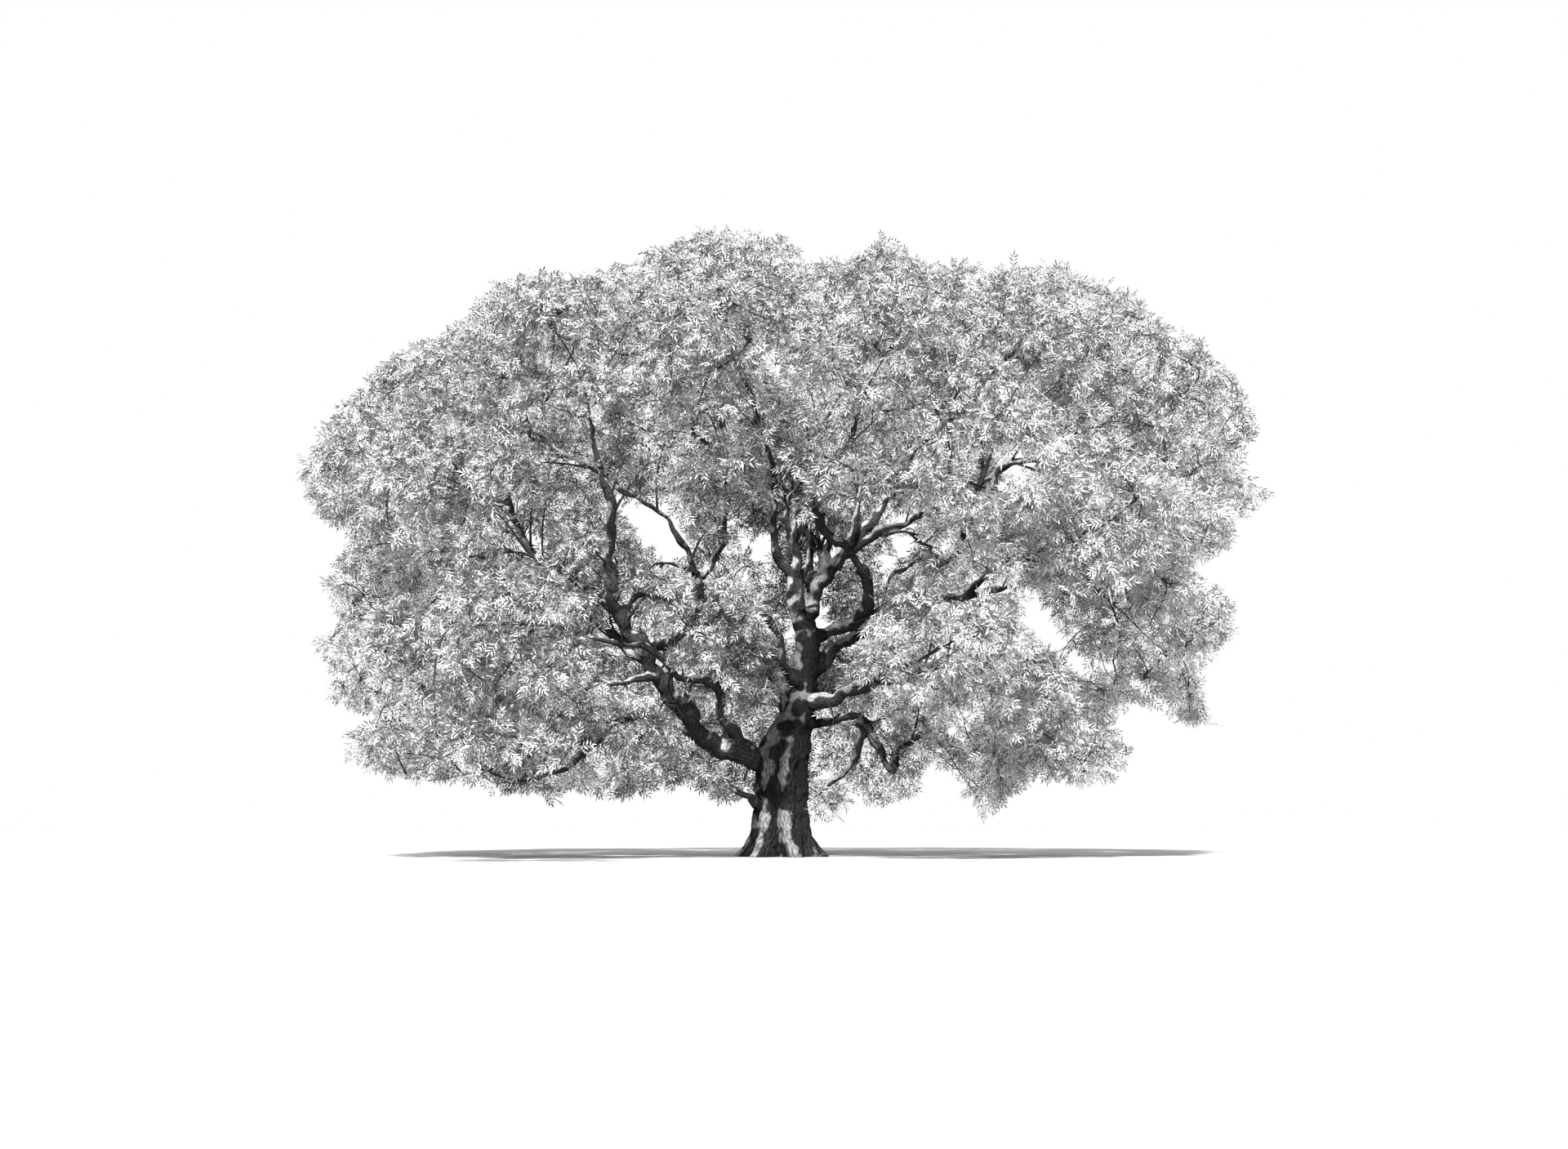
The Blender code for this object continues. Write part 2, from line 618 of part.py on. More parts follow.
def make_masses(spaces, limbs, leaf_material):
    limb_samples = []
    for points, radii in limbs.values():
        limb_samples += samples_along(points, radii)
    for height in np.arange(0, TRUNK_TAPER[-1][0], TRUNK_SAMPLE_STEP):
        limb_samples.append((trunk_middle(height), float(np.interp(height, *zip(*TRUNK_TAPER)))))
    for bough, (_, _, _, tip_radius, masses, _) in BOUGHS.items():
        points = limbs[bough][0]
        tip = points[-1]
        heading = frames_along(points)[-1][0]
        for k, name in enumerate(masses):
            if len(masses) == 1:
                radius, side_step = tip_radius * STEM_TO_TIP, Vector()
            else:
                apart = spaces[name].middle - spaces[masses[1 - k]].middle
                apart = (apart - apart.dot(heading) * heading).normalized()
                radius, side_step = tip_radius * TWIN_STEM_TO_TIP, apart * tip_radius * TWIN_STEM_STEP
            others = [(p, r) for p, r in limb_samples if (p - tip).length > TIP_ZONE]
            mass = grow_mass(name, spaces[name], tip, heading, radius, side_step, others, leaf_material)
            cut_clear(mass, limbs.values(), leaf_material, solver="MANIFOLD")


def main():
    clear_scene()
    trunk_bark = make_material("trunk_bark", (0.10, 0.10, 0.10), 0.9)
    bough_bark = make_material("bough_bark", (0.16, 0.16, 0.16), 0.85)
    leaf = make_material("foliage", (0.52, 0.52, 0.52), 0.6)
    add_object("trunk", trunk_shape(), trunk_bark)
    spaces = make_spaces()
    limbs = make_boughs(spaces, bough_bark)
    make_masses(spaces, limbs, leaf)


main()
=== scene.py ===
import json
import math
import random

import bmesh
import bpy
import numpy as np
from mathutils import Matrix, Vector, noise
from mathutils.kdtree import KDTree

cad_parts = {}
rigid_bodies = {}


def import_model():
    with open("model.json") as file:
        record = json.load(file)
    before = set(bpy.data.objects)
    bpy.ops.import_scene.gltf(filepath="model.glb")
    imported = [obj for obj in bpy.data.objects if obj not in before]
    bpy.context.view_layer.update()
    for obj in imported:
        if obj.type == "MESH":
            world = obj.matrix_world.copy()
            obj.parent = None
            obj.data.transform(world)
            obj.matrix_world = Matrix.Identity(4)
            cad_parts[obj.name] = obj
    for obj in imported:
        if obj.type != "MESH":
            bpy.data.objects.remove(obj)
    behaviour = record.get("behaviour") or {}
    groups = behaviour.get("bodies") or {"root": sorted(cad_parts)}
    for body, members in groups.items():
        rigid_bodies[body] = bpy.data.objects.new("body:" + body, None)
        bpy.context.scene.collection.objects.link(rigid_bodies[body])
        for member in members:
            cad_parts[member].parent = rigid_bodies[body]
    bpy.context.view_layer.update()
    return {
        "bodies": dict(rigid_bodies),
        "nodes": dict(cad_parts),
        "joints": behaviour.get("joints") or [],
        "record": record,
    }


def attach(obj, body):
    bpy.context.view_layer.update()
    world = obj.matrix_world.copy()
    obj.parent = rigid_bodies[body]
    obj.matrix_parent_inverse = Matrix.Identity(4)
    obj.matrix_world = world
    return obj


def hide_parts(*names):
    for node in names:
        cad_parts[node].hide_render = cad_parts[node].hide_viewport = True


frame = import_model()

# The trunk is one short stout stem of solid wood, some 1.45 m thick, cut flat where it meets the ground.
# Its foot spreads into root buttresses, which fade upwards into flutes, and above the first great boughs
# it narrows into a leader that ends in the fork.
SEED = 41
UP = Vector((0, 0, 1))
# Heights with the trunk's radius, and heights with its shift to the right.
TRUNK_TAPER = (
    (0.0, 1.0), (0.22, 0.9), (0.55, 0.8), (1.17, 0.73), (2.27, 0.72), (3.1, 0.72), (3.7, 0.6), (4.3, 0.42),
    (4.9, 0.36), (5.8, 0.35), (6.35, 0.36), (6.7, 0.24),
)
TRUNK_LEAN = ((0.0, 0.0), (2.3, -0.02), (3.4, 0.16), (4.0, 0.50), (4.9, 0.66), (5.7, 0.73), (6.7, 0.73))
FLARE_DEPTH = 0.30
FLARE_HEIGHT = 0.55
FLUTE_DEPTH = 0.06
# The number, strength and turn of the waves that shape the foot.
BUTTRESSES = ((6, 1.0, 0.6), (3, 0.4, 1.9))
FOLD_DEPTH = 0.17
FOLD_HEIGHT = 3.6
FOLD_FADING = 0.6
FOLD_SWAY = 0.06
FOLD_WINDING = 1.9
# Where each fold lies round the trunk and how wide it is, in radians.
FOLDS = ((4.55, 0.16), (5.35, 0.12), (3.6, 0.16), (0.25, 0.14), (1.4, 0.2), (2.5, 0.18))
BELOW_CUT = 0.12
TRUNK_STEP = 0.08
TRUNK_SIDES = 96


def trunk_middle(height):
    return Vector((float(np.interp(height, *zip(*TRUNK_LEAN))), 0, height))


def trunk_radius(height):
    return float(np.interp(height, *zip(*TRUNK_TAPER)))


def frames_along(points):
    """A turn-free pair of cross axes at each point of a route."""
    tangents = []
    for k in range(len(points)):
        ahead = points[min(k + 1, len(points) - 1)] - points[max(k - 1, 0)]
        tangents.append(ahead.normalized())
    side = tangents[0].orthogonal().normalized()
    frames = []
    for tangent in tangents:
        side = (side - side.dot(tangent) * tangent).normalized()
        frames.append((tangent, side, tangent.cross(side)))
    return frames


def grow_limb(shape, route, radii, frames, sides):
    """A limb, a circle carried along its route by extruding its edge, closed at both ends: its points."""
    ring = bmesh.ops.create_circle(shape, cap_ends=True, segments=sides, radius=1)["verts"]
    edges = list(dict.fromkeys(edge for vert in ring for edge in vert.link_edges))
    grown = list(ring)
    before = Matrix.Identity(4)
    for k, (point, radius, (tangent, side, across)) in enumerate(zip(route, radii, frames)):
        if k:
            made = bmesh.ops.extrude_edge_only(shape, edges=edges)["geom"]
            ring = [item for item in made if isinstance(item, bmesh.types.BMVert)]
            edges = [item for item in made if isinstance(item, bmesh.types.BMEdge) and item.is_boundary]
            grown += ring
        turn = Matrix((side, across, tangent)).transposed().to_4x4()
        here = Matrix.Translation(point) @ turn @ Matrix.Diagonal((radius, radius, radius, 1))
        bmesh.ops.transform(shape, matrix=here @ before.inverted(), verts=ring)
        before = here
    bmesh.ops.edgeloop_fill(shape, edges=edges)
    return grown


wood = bmesh.new()
heights = np.arange(-BELOW_CUT, TRUNK_TAPER[-1][0], TRUNK_STEP)
trunk_route = [trunk_middle(height) for height in heights]
trunk_radii = np.array([trunk_radius(height) for height in heights])
upright = [(UP, Vector((1, 0, 0)), Vector((0, 1, 0)))] * len(heights)
stem = grow_limb(wood, trunk_route, trunk_radii, upright, TRUNK_SIDES)
for vert in stem:
    height = max(vert.co.z, 0.0)
    middle = trunk_middle(height)
    angle = math.atan2(vert.co.y - middle.y, vert.co.x - middle.x)
    flare = FLARE_DEPTH * math.exp(-height / FLARE_HEIGHT)
    flute = FLUTE_DEPTH * max(0.0, 1 - height / TRUNK_TAPER[-1][0])
    lobes = sum(strength * math.cos(count * angle + turn) for count, strength, turn in BUTTRESSES)
    wound = angle + FOLD_SWAY * math.sin(FOLD_WINDING * height)
    fold = sum(math.exp(-((math.remainder(wound - at, 2 * math.pi) / width) ** 2)) for at, width in FOLDS)
    fading = max(0.0, 1 - height / FOLD_HEIGHT) ** FOLD_FADING
    spread = 1 + (flare + flute) * lobes - FOLD_DEPTH * fold * fading
    vert.co.x = middle.x + (vert.co.x - middle.x) * spread
    vert.co.y = middle.y + (vert.co.y - middle.y) * spread

# The boughs are crooked tapering limbs of solid wood, swollen into a collar where each grows out of the trunk
# or its parent. Each runs through the bends that the eye sees to the edge of the masses of foliage that it
# carries, whose spaces are egg shapes parted by flat walls. Thinner side limbs cross the openings between.
RING_SPACING = 1.2
CURVE_STEPS = 12
COLLAR_SWELL = 0.25
COLLAR_LENGTH = 0.5
WOBBLE = 0.035
ENTRY_DEPTH = 0.16
SHARED_TIP_START = 0.2
SHARED_TIP_STEP = 0.03
ARCH = ((0.4, 0.10), (0.75, 0.06))
CROWN_HEART = Vector((0, 0, 6))
MASS_GAP = 0.06
EDGE_SLACK = 0.0001
BOUGH_SIDES = 20
BOUGH_STEP = 0.12
GNARLS = ((2.1, 0.30), (1.1, 0.22), (0.55, 0.10))
GNARLS_BEGIN = 0.7
GNARLS_END = 0.4
SWELL_SHARE = 0.5
THINNING = 0.10
THINNING_RUN = 1.2
TINY = 1e-9
# How much slimmer than its solid a limb runs on beyond its collar.
SLENDER_LIMBS = {
    "centre_left": 0.42, "centre": 0.3, "right_up": 0.3, "left_crown": 0.34, "left_arch": 0.4,
    "right": 0.22, "right_shoulder": 0.3, "front_rising": 0.15, "left_reach": 0.15,
}
# The middle and half sizes of each mass of foliage.
MASSES = {
    "left_shoulder": ((-11.2, 0.3, 11.1), (3.2, 4.3, 2.8)),
    "left_upper": ((-9.8, 0.5, 13.4), (3.6, 4.3, 2.8)),
    "left_mid": ((-10.6, 0.0, 7.4), (3.4, 4.2, 2.4)),
    "left_low": ((-10.3, -0.8, 4.3), (3.4, 3.8, 2.7)),
    "bottom_left": ((-6.4, -2.6, 3.5), (3.2, 2.8, 2.1)),
    "bottom_left_inner": ((-2.9, -2.4, 3.0), (2.3, 2.2, 1.9)),
    "upper_left": ((-6.2, 0.5, 15.0), (3.8, 4.3, 2.6)),
    "top": ((-1.9, 0.3, 16.0), (4.5, 4.3, 2.7)),
    "top_right": ((3.2, 0.2, 15.8), (3.7, 4.3, 2.5)),
    "upper_right": ((7.2, 0.5, 15.0), (3.6, 4.3, 2.8)),
    "right_shoulder": ((10.4, 0.0, 13.9), (3.5, 4.3, 2.9)),
    "right_upper": ((11.3, 0.0, 11.6), (3.4, 4.3, 2.7)),
    "right": ((11.0, -0.3, 9.2), (3.6, 4.2, 2.3)),
    "right_low": ((10.5, -0.8, 6.0), (2.9, 4.0, 2.9)),
    "bottom_right": ((6.5, -2.2, 3.6), (3.6, 3.0, 2.7)),
    "low_right_inner": ((2.7, -1.0, 3.1), (2.1, 2.2, 2.1)),
    "front_left": ((-8.0, -5.6, 9.0), (3.4, 3.2, 2.5)),
    "front_left_low": ((-6.4, -6.4, 5.6), (3.5, 3.2, 2.4)),
    "front_left_upper": ((-5.6, -5.2, 12.6), (3.6, 3.4, 2.7)),
    "front_top": ((-1.2, -5.8, 12.9), (3.3, 3.4, 2.6)),
    "front_top_right": ((2.6, -6.0, 12.3), (3.2, 3.4, 2.6)),
    "front_right_upper": ((6.5, -5.2, 12.4), (3.4, 3.4, 2.6)),
    "front_right": ((4.9, -7.5, 9.5), (2.9, 3.0, 2.2)),
    "front_right_side": ((8.0, -5.6, 8.7), (3.2, 3.2, 2.3)),
    "front_right_low": ((4.1, -6.2, 5.4), (3.1, 3.0, 2.1)),
    "front_left_inner": ((-1.9, -4.6, 6.0), (2.1, 2.4, 2.1)),
    "back_left": ((-8.6, 6.3, 10.4), (3.7, 4.2, 3.2)),
    "back_left_low": ((-7.6, 6.6, 5.5), (4.1, 4.0, 2.9)),
    "back_upper_left": ((-2.6, 6.8, 13.8), (4.5, 4.1, 3.1)),
    "back_upper_right": ((4.2, 6.8, 13.3), (4.5, 4.1, 3.1)),
    "back_right": ((8.9, 6.2, 9.8), (4.1, 4.2, 2.6)),
    "back_right_low": ((6.9, 6.6, 4.8), (4.1, 4.0, 2.3)),
    "back_low": ((0.0, 8.7, 5.2), (4.1, 3.5, 2.7)),
}
# What each bough grows on and where, its radius at the base and the tip, the masses it carries and its bends.
BOUGHS = {
    "left": ("trunk", 2.7, 0.37, 0.10, ("front_left_upper",), (
        (-1.45, -0.6, 2.96), (-2.15, -1.0, 3.25), (-3.21, -2.0, 4.53), (-3.75, -2.5, 5.6),
        (-4.53, -3.3, 6.95), (-4.5, -3.8, 8.03), (-4.65, -4.3, 9.87))),
    "left_inner": ("left", 0.10, 0.17, 0.09, ("front_left_low",), (
        (-1.66, -1.3, 3.9), (-1.8, -1.8, 4.55), (-2.85, -2.9, 4.85), (-3.8, -3.9, 5.6))),
    "left_crown": ("left", 0.40, 0.18, 0.11, ("top",), (
        (-2.9, -1.8, 6.02), (-2.23, -1.2, 6.99), (-2.13, -1.0, 7.8), (-1.65, -0.4, 8.9),
        (-1.61, -0.2, 9.92))),
    "left_arch": ("left_crown", 0.29, 0.13, 0.10, ("upper_left", "left_upper"), (
        (-2.77, -1.0, 8.89), (-3.4, -1.0, 9.6), (-4.5, -1.1, 10.4))),
    "left_reach": ("left", 0.24, 0.15, 0.07, ("left_low",), (
        (-4.1, -2.3, 3.9), (-5.26, -2.7, 3.0), (-6.1, -2.8, 2.25), (-7.6, -2.6, 2.1))),
    "left_side": ("left", 0.47, 0.16, 0.10, ("left_shoulder", "left_mid"), ((-6.2, -2.0, 7.3),)),
    "front_left": ("left", 0.58, 0.13, 0.09, ("front_left",), ()),
    "low_left": ("trunk", 1.25, 0.19, 0.09, ("bottom_left_inner",), (
        (-1.16, -1.0, 1.75), (-1.65, -1.35, 2.2))),
    "bottom_left": ("left_reach", 0.24, 0.11, 0.07, ("bottom_left",), ()),
    "centre_left": ("trunk", 6.3, 0.25, 0.11, ("front_top",), (
        (0.45, -0.2, 7.17), (-0.10, -0.6, 8.6), (-0.28, -0.8, 9.6), (-0.12, -1.0, 10.4), (-0.4, -2.0, 11.4))),
    "centre": ("centre_left", 0.12, 0.15, 0.10, ("top_right",), (
        (0.45, -0.5, 8.17), (0.27, -0.8, 9.1), (0.4, -1.0, 10.1), (0.9, -0.7, 11.9))),
    "right_up": ("trunk", 6.3, 0.25, 0.12, ("upper_right",), (
        (1.1, 0.4, 7.81), (1.85, 0.6, 8.71), (3.03, 0.6, 10.23), (3.8, 0.5, 11.6))),
    "back_left_top": ("right_up", 0.10, 0.14, 0.10, ("back_upper_left",), (
        (0.78, 0.9, 8.3), (0.72, 1.3, 9.4), (0.0, 2.4, 10.9))),
    "back_right_top": ("right_up", 0.20, 0.14, 0.10, ("back_upper_right",), (
        (1.35, 1.2, 9.2), (1.7, 2.1, 10.4))),
    "right_shoulder": ("right_up", 0.36, 0.15, 0.11, ("right_shoulder", "right_upper"), (
        (3.6, 0.4, 9.75), (5.2, 0.2, 10.4), (6.7, 0.0, 11.35))),
    "right": ("trunk", 6.1, 0.20, 0.11, ("right", "right_low"), (
        (1.6, 0.3, 6.55), (2.8, 0.5, 6.95), (4.2, 0.5, 7.3), (5.6, 0.4, 7.65), (7.2, 0.0, 7.75))),
    "front_rising": ("right", 0.20, 0.19, 0.10, ("front_top_right",), (
        (2.5, -0.6, 7.55), (2.35, -0.9, 8.1), (1.9, -1.1, 8.6), (1.3, -1.3, 9.1), (1.05, -2.0, 9.9))),
    "front_right_top": ("right", 0.45, 0.14, 0.10, ("front_right_upper", "front_right"), (
        (4.9, -1.6, 8.6),)),
    "front_right_side": ("right", 0.62, 0.12, 0.09, ("front_right_side",), ()),
    "right_low": ("trunk", 3.85, 0.26, 0.11, ("bottom_right",), (
        (1.25, -0.6, 4.38), (1.88, -1.0, 4.65), (3.24, -1.6, 4.95), (4.4, -1.9, 5.4))),
    "front_right_low": ("right_low", 0.50, 0.13, 0.09, ("front_right_low",), ()),
    "drooping": ("trunk", 3.6, 0.18, 0.09, ("low_right_inner",), (
        (1.27, 0.3, 3.95), (1.92, 0.3, 3.98), (2.4, 0.1, 3.75))),
    "front_left_inner": ("trunk", 4.6, 0.12, 0.08, ("front_left_inner",), ()),
    "back_left": ("trunk", 4.3, 0.24, 0.12, ("back_left", "back_left_low"), ()),
    "back_right": ("trunk", 5.2, 0.22, 0.12, ("back_right", "back_right_low"), ()),
    "back_low": ("trunk", 3.3, 0.17, 0.10, ("back_low",), ()),
}
# The radius at the base and the tip, and the bends.
SIDE_LIMBS = {
    "left_cross": (0.08, 0.04, (
        (-2.2, -1.1, 7.8), (-2.6, -1.2, 8.08), (-3.2, -1.3, 8.2), (-3.6, -1.4, 8.1), (-3.85, -1.6, 7.7))),
    "left_lowest": (0.07, 0.03, (
        (-5.1, -2.9, 3.1), (-6.4, -3.4, 2.75), (-8.1, -3.2, 2.25), (-9.6, -2.6, 2.1), (-10.9, -2.2, 2.5))),
    "left_lit": (0.14, 0.1, (
        (-3.6, -2.4, 5.6), (-3.2, -1.9, 5.9), (-2.7, -1.4, 6.3), (-2.3, -1.1, 6.9))),
    "left_stub": (0.12, 0.06, (
        (-3.4, -2.3, 4.9), (-3.9, -2.8, 4.8), (-4.5, -3.3, 4.6), (-5.0, -3.6, 4.7))),
    "left_back": (0.1, 0.06, (
        (-4.2, -3.1, 6.7), (-4.0, -2.6, 7.1), (-3.2, -1.9, 7.1), (-2.6, -1.2, 7.2))),
    "elbow": (0.15, 0.1, (
        (2.2, 0.05, 3.85), (2.5, -0.1, 3.58), (2.73, -0.2, 3.2), (2.84, -0.3, 2.78), (3.0, -0.4, 2.5),
        (3.2, -0.5, 2.42), (3.26, -0.5, 2.75), (3.28, -0.6, 3.05), (3.6, -0.7, 3.2), (4.0, -0.8, 3.45))),
    "elbow_inner": (0.13, 0.06, (
        (2.42, -0.05, 3.62), (2.2, 0.0, 3.2), (2.08, 0.0, 2.6), (1.8, 0.0, 2.3), (1.4, 0.0, 2.1),
        (1.0, 0.0, 1.7))),
    "leader_twin": (0.15, 0.09, (
        (0.45, -0.1, 4.9), (0.12, -0.3, 5.5), (-0.05, -0.4, 6.1), (-0.35, -0.5, 6.6), (-0.9, -0.5, 7.2))),
    "upright_left": (0.13, 0.07, (
        (0.55, -0.2, 7.0), (0.45, -0.3, 8.0), (0.33, -0.6, 8.8), (0.15, -0.8, 9.5), (0.2, -1.0, 10.1),
        (0.55, -1.2, 10.6), (0.45, -1.4, 11.5))),
    "upright_short": (0.11, 0.06, (
        (0.5, 0.0, 7.6), (0.6, 0.0, 8.1), (0.85, 0.2, 8.7), (0.75, 0.5, 9.4), (0.7, 0.6, 10.2),
        (0.5, 0.8, 11.8))),
    "upright_right": (0.12, 0.07, (
        (0.95, 0.2, 6.9), (1.05, 0.5, 7.8), (1.15, 0.9, 8.7), (1.15, 1.3, 9.8), (1.9, 1.6, 11.9))),
    "right_twin": (0.12, 0.08, (
        (1.6, 0.5, 8.3), (1.95, 0.3, 8.95), (2.1, 0.1, 9.6), (2.35, -0.1, 10.3), (2.4, -0.4, 11.4))),
    "right_cross": (0.08, 0.04, (
        (2.6, 0.6, 9.5), (3.1, 0.4, 9.35), (3.6, 0.3, 9.4), (4.1, 0.2, 9.0), (4.6, 0.3, 8.9))),
    "right_low_cross": (0.07, 0.04, (
        (2.9, 0.5, 7.0), (3.2, 0.4, 8.1), (3.6, 0.4, 8.25), (3.95, 0.4, 8.6), (4.6, 0.3, 8.6))),
    "right_stem": (0.09, 0.05, (
        (4.7, -0.9, 10.3), (4.85, -1.0, 11.42), (4.82, -1.0, 12.64), (5.3, -1.3, 13.6))),
    "right_lit": (0.09, 0.05, (
        (6.2, 0.0, 10.6), (6.35, 0.0, 11.2), (6.9, 0.0, 11.35), (7.5, 0.0, 11.45))),
}


class Space:
    """An egg-shaped space, parted from its neighbours by flat walls."""

    def __init__(self, middle, half):
        self.middle, self.half, self.walls = Vector(middle), Vector(half), {}
        self.out = (self.middle - CROWN_HEART).normalized()

    def support(self, way):
        return math.sqrt(sum((h * w) ** 2 for h, w in zip(self.half, way)))

    def part_from(self, name, other):
        between = other.middle - self.middle
        way = between.normalized()
        share = self.support(way) / (self.support(way) + other.support(way))
        self.walls[name] = (way, way.dot(self.middle) + between.length * share - MASS_GAP / 2)

    def holds(self, point):
        scaled = [(p - m) / h for p, m, h in zip(point, self.middle, self.half)]
        if sum(s * s for s in scaled) > 1 + EDGE_SLACK:
            return False
        return all(way.dot(point) <= limit for way, limit in self.walls.values())

    def shell_reach(self, start, way):
        """How far a point inside can go along way before it leaves the egg."""
        offset = Vector([(s - m) / h for s, m, h in zip(start, self.middle, self.half)])
        run = Vector([w / h for w, h in zip(way, self.half)])
        a, b, c = run.dot(run), offset.dot(run), offset.dot(offset) - 1
        return max((-b + math.sqrt(max(b * b - a * c, 0.0))) / a, 0.0)

    def wall_reach(self, start, way):
        """How far it can go before it meets a wall."""
        rooms = [(limit - normal.dot(start)) / normal.dot(way)
                 for normal, limit in self.walls.values() if normal.dot(way) > TINY]
        return max(min(rooms, default=math.inf), 0.0)

    def reach(self, start, way):
        return min(self.shell_reach(start, way), self.wall_reach(start, way))


def curve_through(points, spacing):
    """Points at even steps of about spacing along a Catmull-Rom curve through the given ones."""
    fine = []
    padded = [2 * points[0] - points[1], *points, 2 * points[-1] - points[-2]]
    for a, b, c, d in zip(padded, padded[1:], padded[2:], padded[3:]):
        for k in range(CURVE_STEPS):
            t = k / CURVE_STEPS
            fine.append(0.5 * (2 * b + (c - a) * t + (2 * a - 5 * b + 4 * c - d) * t**2
                               + (3 * b - a - 3 * c + d) * t**3))
    fine.append(points[-1].copy())
    travelled = [0.0]
    for a, b in zip(fine, fine[1:]):
        travelled.append(travelled[-1] + (b - a).length)
    count = max(3, round(travelled[-1] / spacing))
    even = []
    for k in range(count + 1):
        goal = travelled[-1] * k / count
        at = int(np.clip(np.searchsorted(travelled, goal) - 1, 0, len(fine) - 2))
        share = (goal - travelled[at]) / max(travelled[at + 1] - travelled[at], TINY)
        even.append(fine[at].lerp(fine[at + 1], share))
    return even


def any_way(chance, size):
    return Vector([chance.uniform(-size, size) for _ in range(3)])


def wobbled(points, chance):
    """The crooked growth of an old bough: its middle points shifted a little to the sides."""
    length = sum((b - a).length for a, b in zip(points, points[1:]))
    moved = [points[0]]
    for point in points[1:-1]:
        moved.append(point + any_way(chance, 1) * WOBBLE * math.sqrt(length))
    return [*moved, points[-1]]


def bough_route(base, bends, masses, chance):
    """From inside what it grows on, through its bends, to where it enters the masses that it carries."""
    bends = [Vector(bend) for bend in bends]
    last = bends[-1] if bends else base
    middle = sum((spaces[name].middle for name in masses), Vector()) / len(masses)
    if len(masses) == 1:
        way = (last - middle).normalized()
        tip = middle + way * spaces[masses[0]].reach(middle, way) * (1 - ENTRY_DEPTH)
    else:
        tip = last.lerp(middle, SHARED_TIP_START)
        while not any(spaces[name].holds(tip) for name in masses):
            tip = tip.lerp(middle, SHARED_TIP_STEP)
        wall_way, limit = spaces[masses[0]].walls[masses[1]]
        tip += wall_way * (limit + MASS_GAP / 2 - wall_way.dot(tip))
    if not bends:
        bends = [base.lerp(tip, share) + UP * rise * (tip - base).length for share, rise in ARCH]
    return curve_through(wobbled([base, *bends, tip], chance), RING_SPACING)


def arc_lengths(points):
    return np.concatenate([[0], np.cumsum([(b - a).length for a, b in zip(points, points[1:])])])


def limb_radii(points, base_radius, tip_radius, swell=COLLAR_SWELL):
    """A straight taper with a swollen collar where the limb leaves its parent."""
    travelled = arc_lengths(points)
    taper = base_radius + (tip_radius - base_radius) * travelled / travelled[-1]
    return taper * (1 + swell * np.exp(-travelled / COLLAR_LENGTH))


def gnarled(route, radii, chance, thinning=THINNING):
    """The small crooks and swellings of an old limb, which fade out at both of its ends."""
    travelled = arc_lengths(route)
    fade = np.clip(travelled / GNARLS_BEGIN, 0, 1) * np.clip((travelled[-1] - travelled) / GNARLS_END, 0, 1)
    moved, thick = [], radii * (1 - thinning * (1 - np.exp(-travelled / THINNING_RUN)))
    for spacing, depth in GNARLS:
        turns = [chance.uniform(0, 2 * math.pi) for _ in range(3)]
        side_sway, cross_sway, swell = (np.sin(2 * math.pi * travelled / spacing + turn) for turn in turns)
        moved.append((side_sway * depth * radii * fade, cross_sway * depth * radii * fade))
        thick = thick * (1 + SWELL_SHARE * depth * swell * fade)
    side_shift, cross_shift = (sum(part) for part in zip(*moved))
    crooked = [point + side * a + across * b
               for point, (_, side, across), a, b in zip(route, frames_along(route), side_shift, cross_shift)]
    return crooked, thick


spaces = {name: Space(middle, half) for name, (middle, half) in MASSES.items()}
for name, space in spaces.items():
    for other_name, other in spaces.items():
        if other_name != name:
            space.part_from(other_name, other)

limbs = {"trunk": (trunk_route, trunk_radii, upright)}
solid_routes = {}


def add_limb(name, points, base_radius, tip_radius, chance, thinning=THINNING):
    """One more limb in the wood, through points, with the crooks and swellings of its age."""
    route = curve_through(points, BOUGH_STEP)
    route, radii = gnarled(route, limb_radii(route, base_radius, tip_radius), chance, thinning)
    frames = frames_along(route)
    grow_limb(wood, route, radii, frames, BOUGH_SIDES)
    limbs[name] = (route, radii, frames)


for name, (parent, at, base_radius, tip_radius, masses, bends) in BOUGHS.items():
    chance = random.Random(f"{SEED} bough {name}")
    if parent == "trunk":
        base = trunk_middle(at)
    else:
        parent_route = solid_routes[parent]
        place = at * (len(parent_route) - 1)
        base = parent_route[int(place)].lerp(parent_route[int(place) + 1], place % 1)
    solid_routes[name] = bough_route(base, bends, masses, chance)
    thinning = SLENDER_LIMBS.get(name, THINNING)
    add_limb(name, solid_routes[name], base_radius, tip_radius, chance, thinning)
for name, (base_radius, tip_radius, bends) in SIDE_LIMBS.items():
    chance = random.Random(f"{SEED} side limb {name}")
    add_limb(name, [Vector(bend) for bend in bends], base_radius, tip_radius, chance)

# Trunk and boughs are one piece of living wood, so each fork is eased into the next limb without a seam. The
# bark of an old ash is split by long furrows, which part and meet again round narrow diamonds. They are deep
# on the trunk and finer on the boughs, and they follow each limb round its bends.
GRAIN = 0.034
EASING = 0.5
EASING_ROUNDS = 8
FURROW_SPACING = 0.10
BOUGH_FURROW_SPACING = 0.075
FURROW_LENGTH = 0.9
FURROW_DEPTH = 0.034
